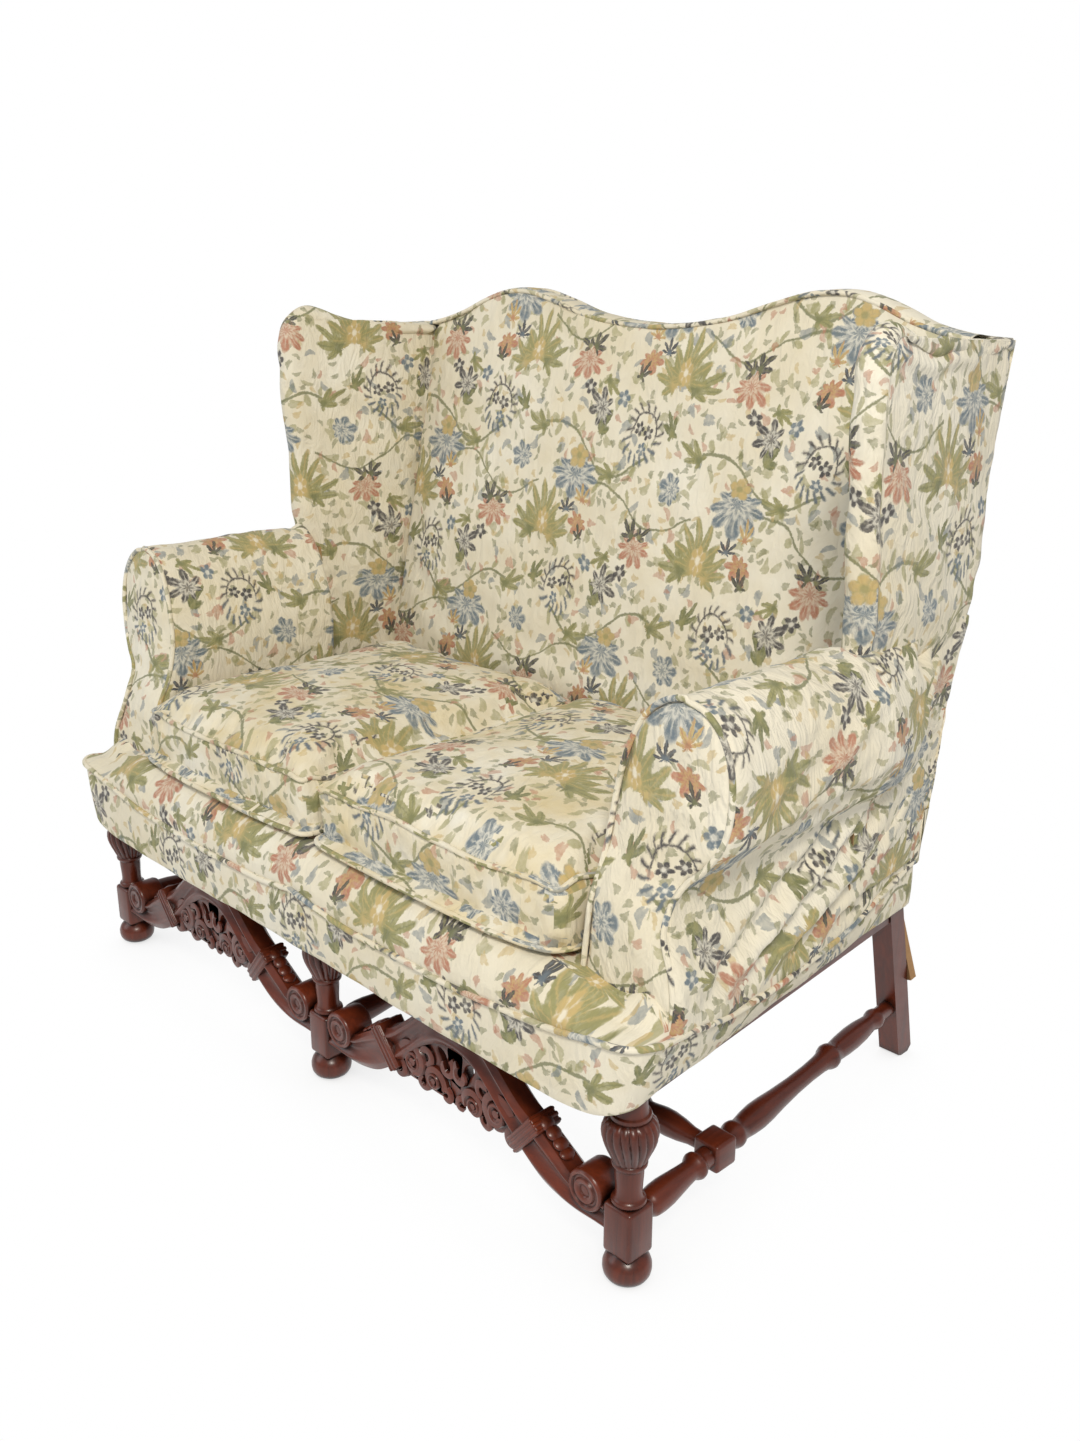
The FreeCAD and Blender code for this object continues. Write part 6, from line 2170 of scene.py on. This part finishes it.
@dataclass
class Finishes:
    """Every finish of the settee, made once."""

    made: dict[str, Material] = field(default_factory=dict)

    def prepare(self) -> None:
        """Make the finishes."""
        cloth = Brocade().cloth_group()
        for finish in (CoverFinish("Cover of the back", (0.0, 0.0), 4.0, 0.35, 60.0, 0.38),
                       CoverFinish("Cover of the seat", (0.06, 0.11), -3.0, 1.1, 15.0, 0.45),
                       CoverFinish("Cover of the band", (0.19, 0.02), 2.0, 0.30, -50.0, 0.42),
                       CoverFinish("Cover of the left arm", (0.11, 0.07), 3.0, 0.40, -40.0, 0.5),
                       CoverFinish("Cover of the right arm", (0.24, 0.16), -4.0, 0.25, 50.0, 0.62),
                       CoverFinish("Cover of the left wing", (0.02, 0.20), 3.0, 0.45, -30.0, 0.5),
                       CoverFinish("Cover of the right wing", (0.15, 0.05), -3.0, 0.25, 45.0, 0.62)):
            self.made[finish.name] = finish.material(cloth)
        red, black = shade(122, 50, 24), shade(44, 15, 8)
        for word, grain in (("upright", Grain.UPRIGHT), ("across", Grain.ACROSS), ("depth", Grain.DEPTH)):
            self.made["Polished wood " + word] = WoodFinish("Polished wood " + word, red, black, grain).material()
        tan = WoodFinish("Plain brace board", shade(186, 146, 98), shade(132, 92, 54), Grain.UPRIGHT, 0.6, 0.05)
        rail = WoodFinish("Plain frame wood", shade(196, 164, 118), shade(156, 120, 78), Grain.ACROSS, 0.65, 0.0)
        self.made[tan.name] = tan.material()
        self.made[rail.name] = rail.material()
        for finish in (PlainFinish("Jute webbing", shade(176, 150, 108), shade(140, 114, 76), 500, 0.9),
                       PlainFinish("Black lining", shade(40, 38, 38), shade(60, 57, 55), 700, 0.9),
                       PlainFinish("Cotton canvas", shade(214, 204, 182), shade(190, 178, 152), 600, 0.9),
                       PlainFinish("Cushion foam", shade(226, 214, 170), shade(206, 190, 140), 300, 0.95),
                       PlainFinish("Steel screw", shade(170, 170, 172), shade(130, 130, 134), 200, 0.35, 1.0)):
            self.made[finish.name] = finish.material()

    def pick(self, name: str) -> Material:
        """Return a finish by its name."""
        return self.made[name]


class Settee:
    """Builds every piece and ties it to the frame."""

    def __init__(self, place: Place, finishes: Finishes) -> None:
        """Keep the place and the finishes."""
        self.place = place
        self.bench = Bench(place)
        self.tailor = Tailor(place)
        self.plan = Plan()
        self.finishes = finishes

    def tie(self, obj: Piece, finish: str, nodes: Sequence[str] = (), body: str = "settee") -> Piece:
        """Dress a piece, let it ride and hide the CAD nodes that it stands for.

        Args:
            obj: The piece.
            finish: The name of its finish.
            nodes: The CAD nodes it stands for.
            body: The body it rides on.

        Returns:
            The piece.
        """
        dress(obj, self.finishes.pick(finish))
        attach(obj, body)
        if nodes:
            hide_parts(*nodes)
        LOG.info("%s: %d faces", obj.name, len(obj.data.polygons))
        return obj

    def covers(self) -> None:
        """Build the seat, the back, the arms and the wings."""
        seat = SeatCover(self.bench, self.tailor, self.plan)
        band = self.tie(seat.band(), "Cover of the band",
                        ("cover_band_front", "cover_band_back", "cover_band_left", "cover_band_right"))
        seat.cut()
        self.tie(seat.deck(), "Cover of the band", ("seat_stuffing",))
        self.tie(seat.piping(), "Cover of the band")
        back = Back(self.bench, self.tailor)
        self.tie(back.inside(), "Cover of the back", ("back_stuffing",))
        outside = self.tie(back.outside(), "Cover of the back", ("cover_outside_back",))
        flat, area = back.cut()
        self.tie(back.piping("back_piping_front", False), "Cover of the back")
        self.tie(back.piping("back_piping_rear", True), "Cover of the back")
        for side in Side:
            arm = Arm(self.bench, self.tailor, self.plan, side)
            finish = "Cover of the %s arm" % side.word
            self.tie(arm.cover(), finish,
                     ("arm_stuffing_" + side.word, "side_stuffing_" + side.word))
            self.tie(arm.piping(), finish)
            wing = Wing(self.bench, self.tailor, side)
            self.tie(wing.cover(), "Cover of the %s wing" % side.word,
                     ("wing_stuffing_" + side.word,))

    def cushions(self) -> None:
        """Build the two loose cushions with their piping."""
        for side in Side:
            cushion = SeatCushion(self.bench, self.tailor, side)
            body = "cushion_" + side.word
            case = self.tie(cushion.make(), "Cover of the seat", ("cushion_cover_" + side.word,),
                            body)
            for top in (True, False):
                self.tie(cushion.piping(case, top), "Cover of the seat", (), body)

    def woodwork(self) -> None:
        """Build the turned and carved wood of the underframe."""
        sizes = LegSizes()
        for word, hand in (("left", -1), ("middle", 0), ("right", 1)):
            x = hand * sizes.spacing
            leg = FrontLeg(self.bench, x, word)
            self.tie(leg.shank(), "Polished wood upright", ("front_leg_" + word,))
            self.tie(leg.foot(), "Polished wood upright", ("bun_foot_" + word,))
            stretcher = SideStretcher(self.bench, word, x, hand * sizes.rear_spacing)
            self.tie(stretcher.make(), "Polished wood depth", ("side_stretcher_" + word,))
        for side in Side:
            self.tie(CrossStretcher(self.bench, side).make(), "Polished wood across",
                     ("cross_stretcher_" + side.word,))
            self.tie(CarvedStretcher(self.bench, side).make(), "Polished wood across",
                     ("carved_stretcher_" + side.word,))

    def carried_over(self, frame: dict) -> None:
        """Give the CAD nodes that stay their finishes, the side and back seat rails dark polished wood as painted shade
        under the hem.
        """
        # The side and back seat rails take the dark polished wood so that the strip showing under the hem reads as
        # shadow: painted shade.
        rules = (("back_post", "Polished wood upright"), ("seat_rail_side", "Polished wood depth"),
                 ("seat_rail_back", "Polished wood across"), ("back_brace", "Plain brace board"), ("webbing",
                                                                                                   "Jute webbing"),
                 ("bottom_cloth", "Black lining"), ("canvas", "Cotton canvas"), ("fill", "Cushion foam"),
                 ("screws", "Steel screw"))
        for name in frame["nodes"]:
            obj = bpy.data.objects.get(name)
            if obj is None or obj.type != "MESH":
                continue
            finish = next((value for key, value in rules if key in name), "Plain frame wood")
            dress(obj, self.finishes.pick(finish))


def main() -> None:
    """Build the settee on the frame and set the studio round it."""
    logging.basicConfig(level=logging.INFO, format="%(name)s: %(message)s")
    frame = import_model()
    place = Place.from_frame()
    finishes = Finishes()
    finishes.prepare()
    settee = Settee(place, finishes)
    settee.carried_over(frame)
    settee.covers()
    settee.cushions()
    settee.woodwork()
    Studio().set_up(place)
    Bench.clear()


if __name__ == "__main__":
    main()
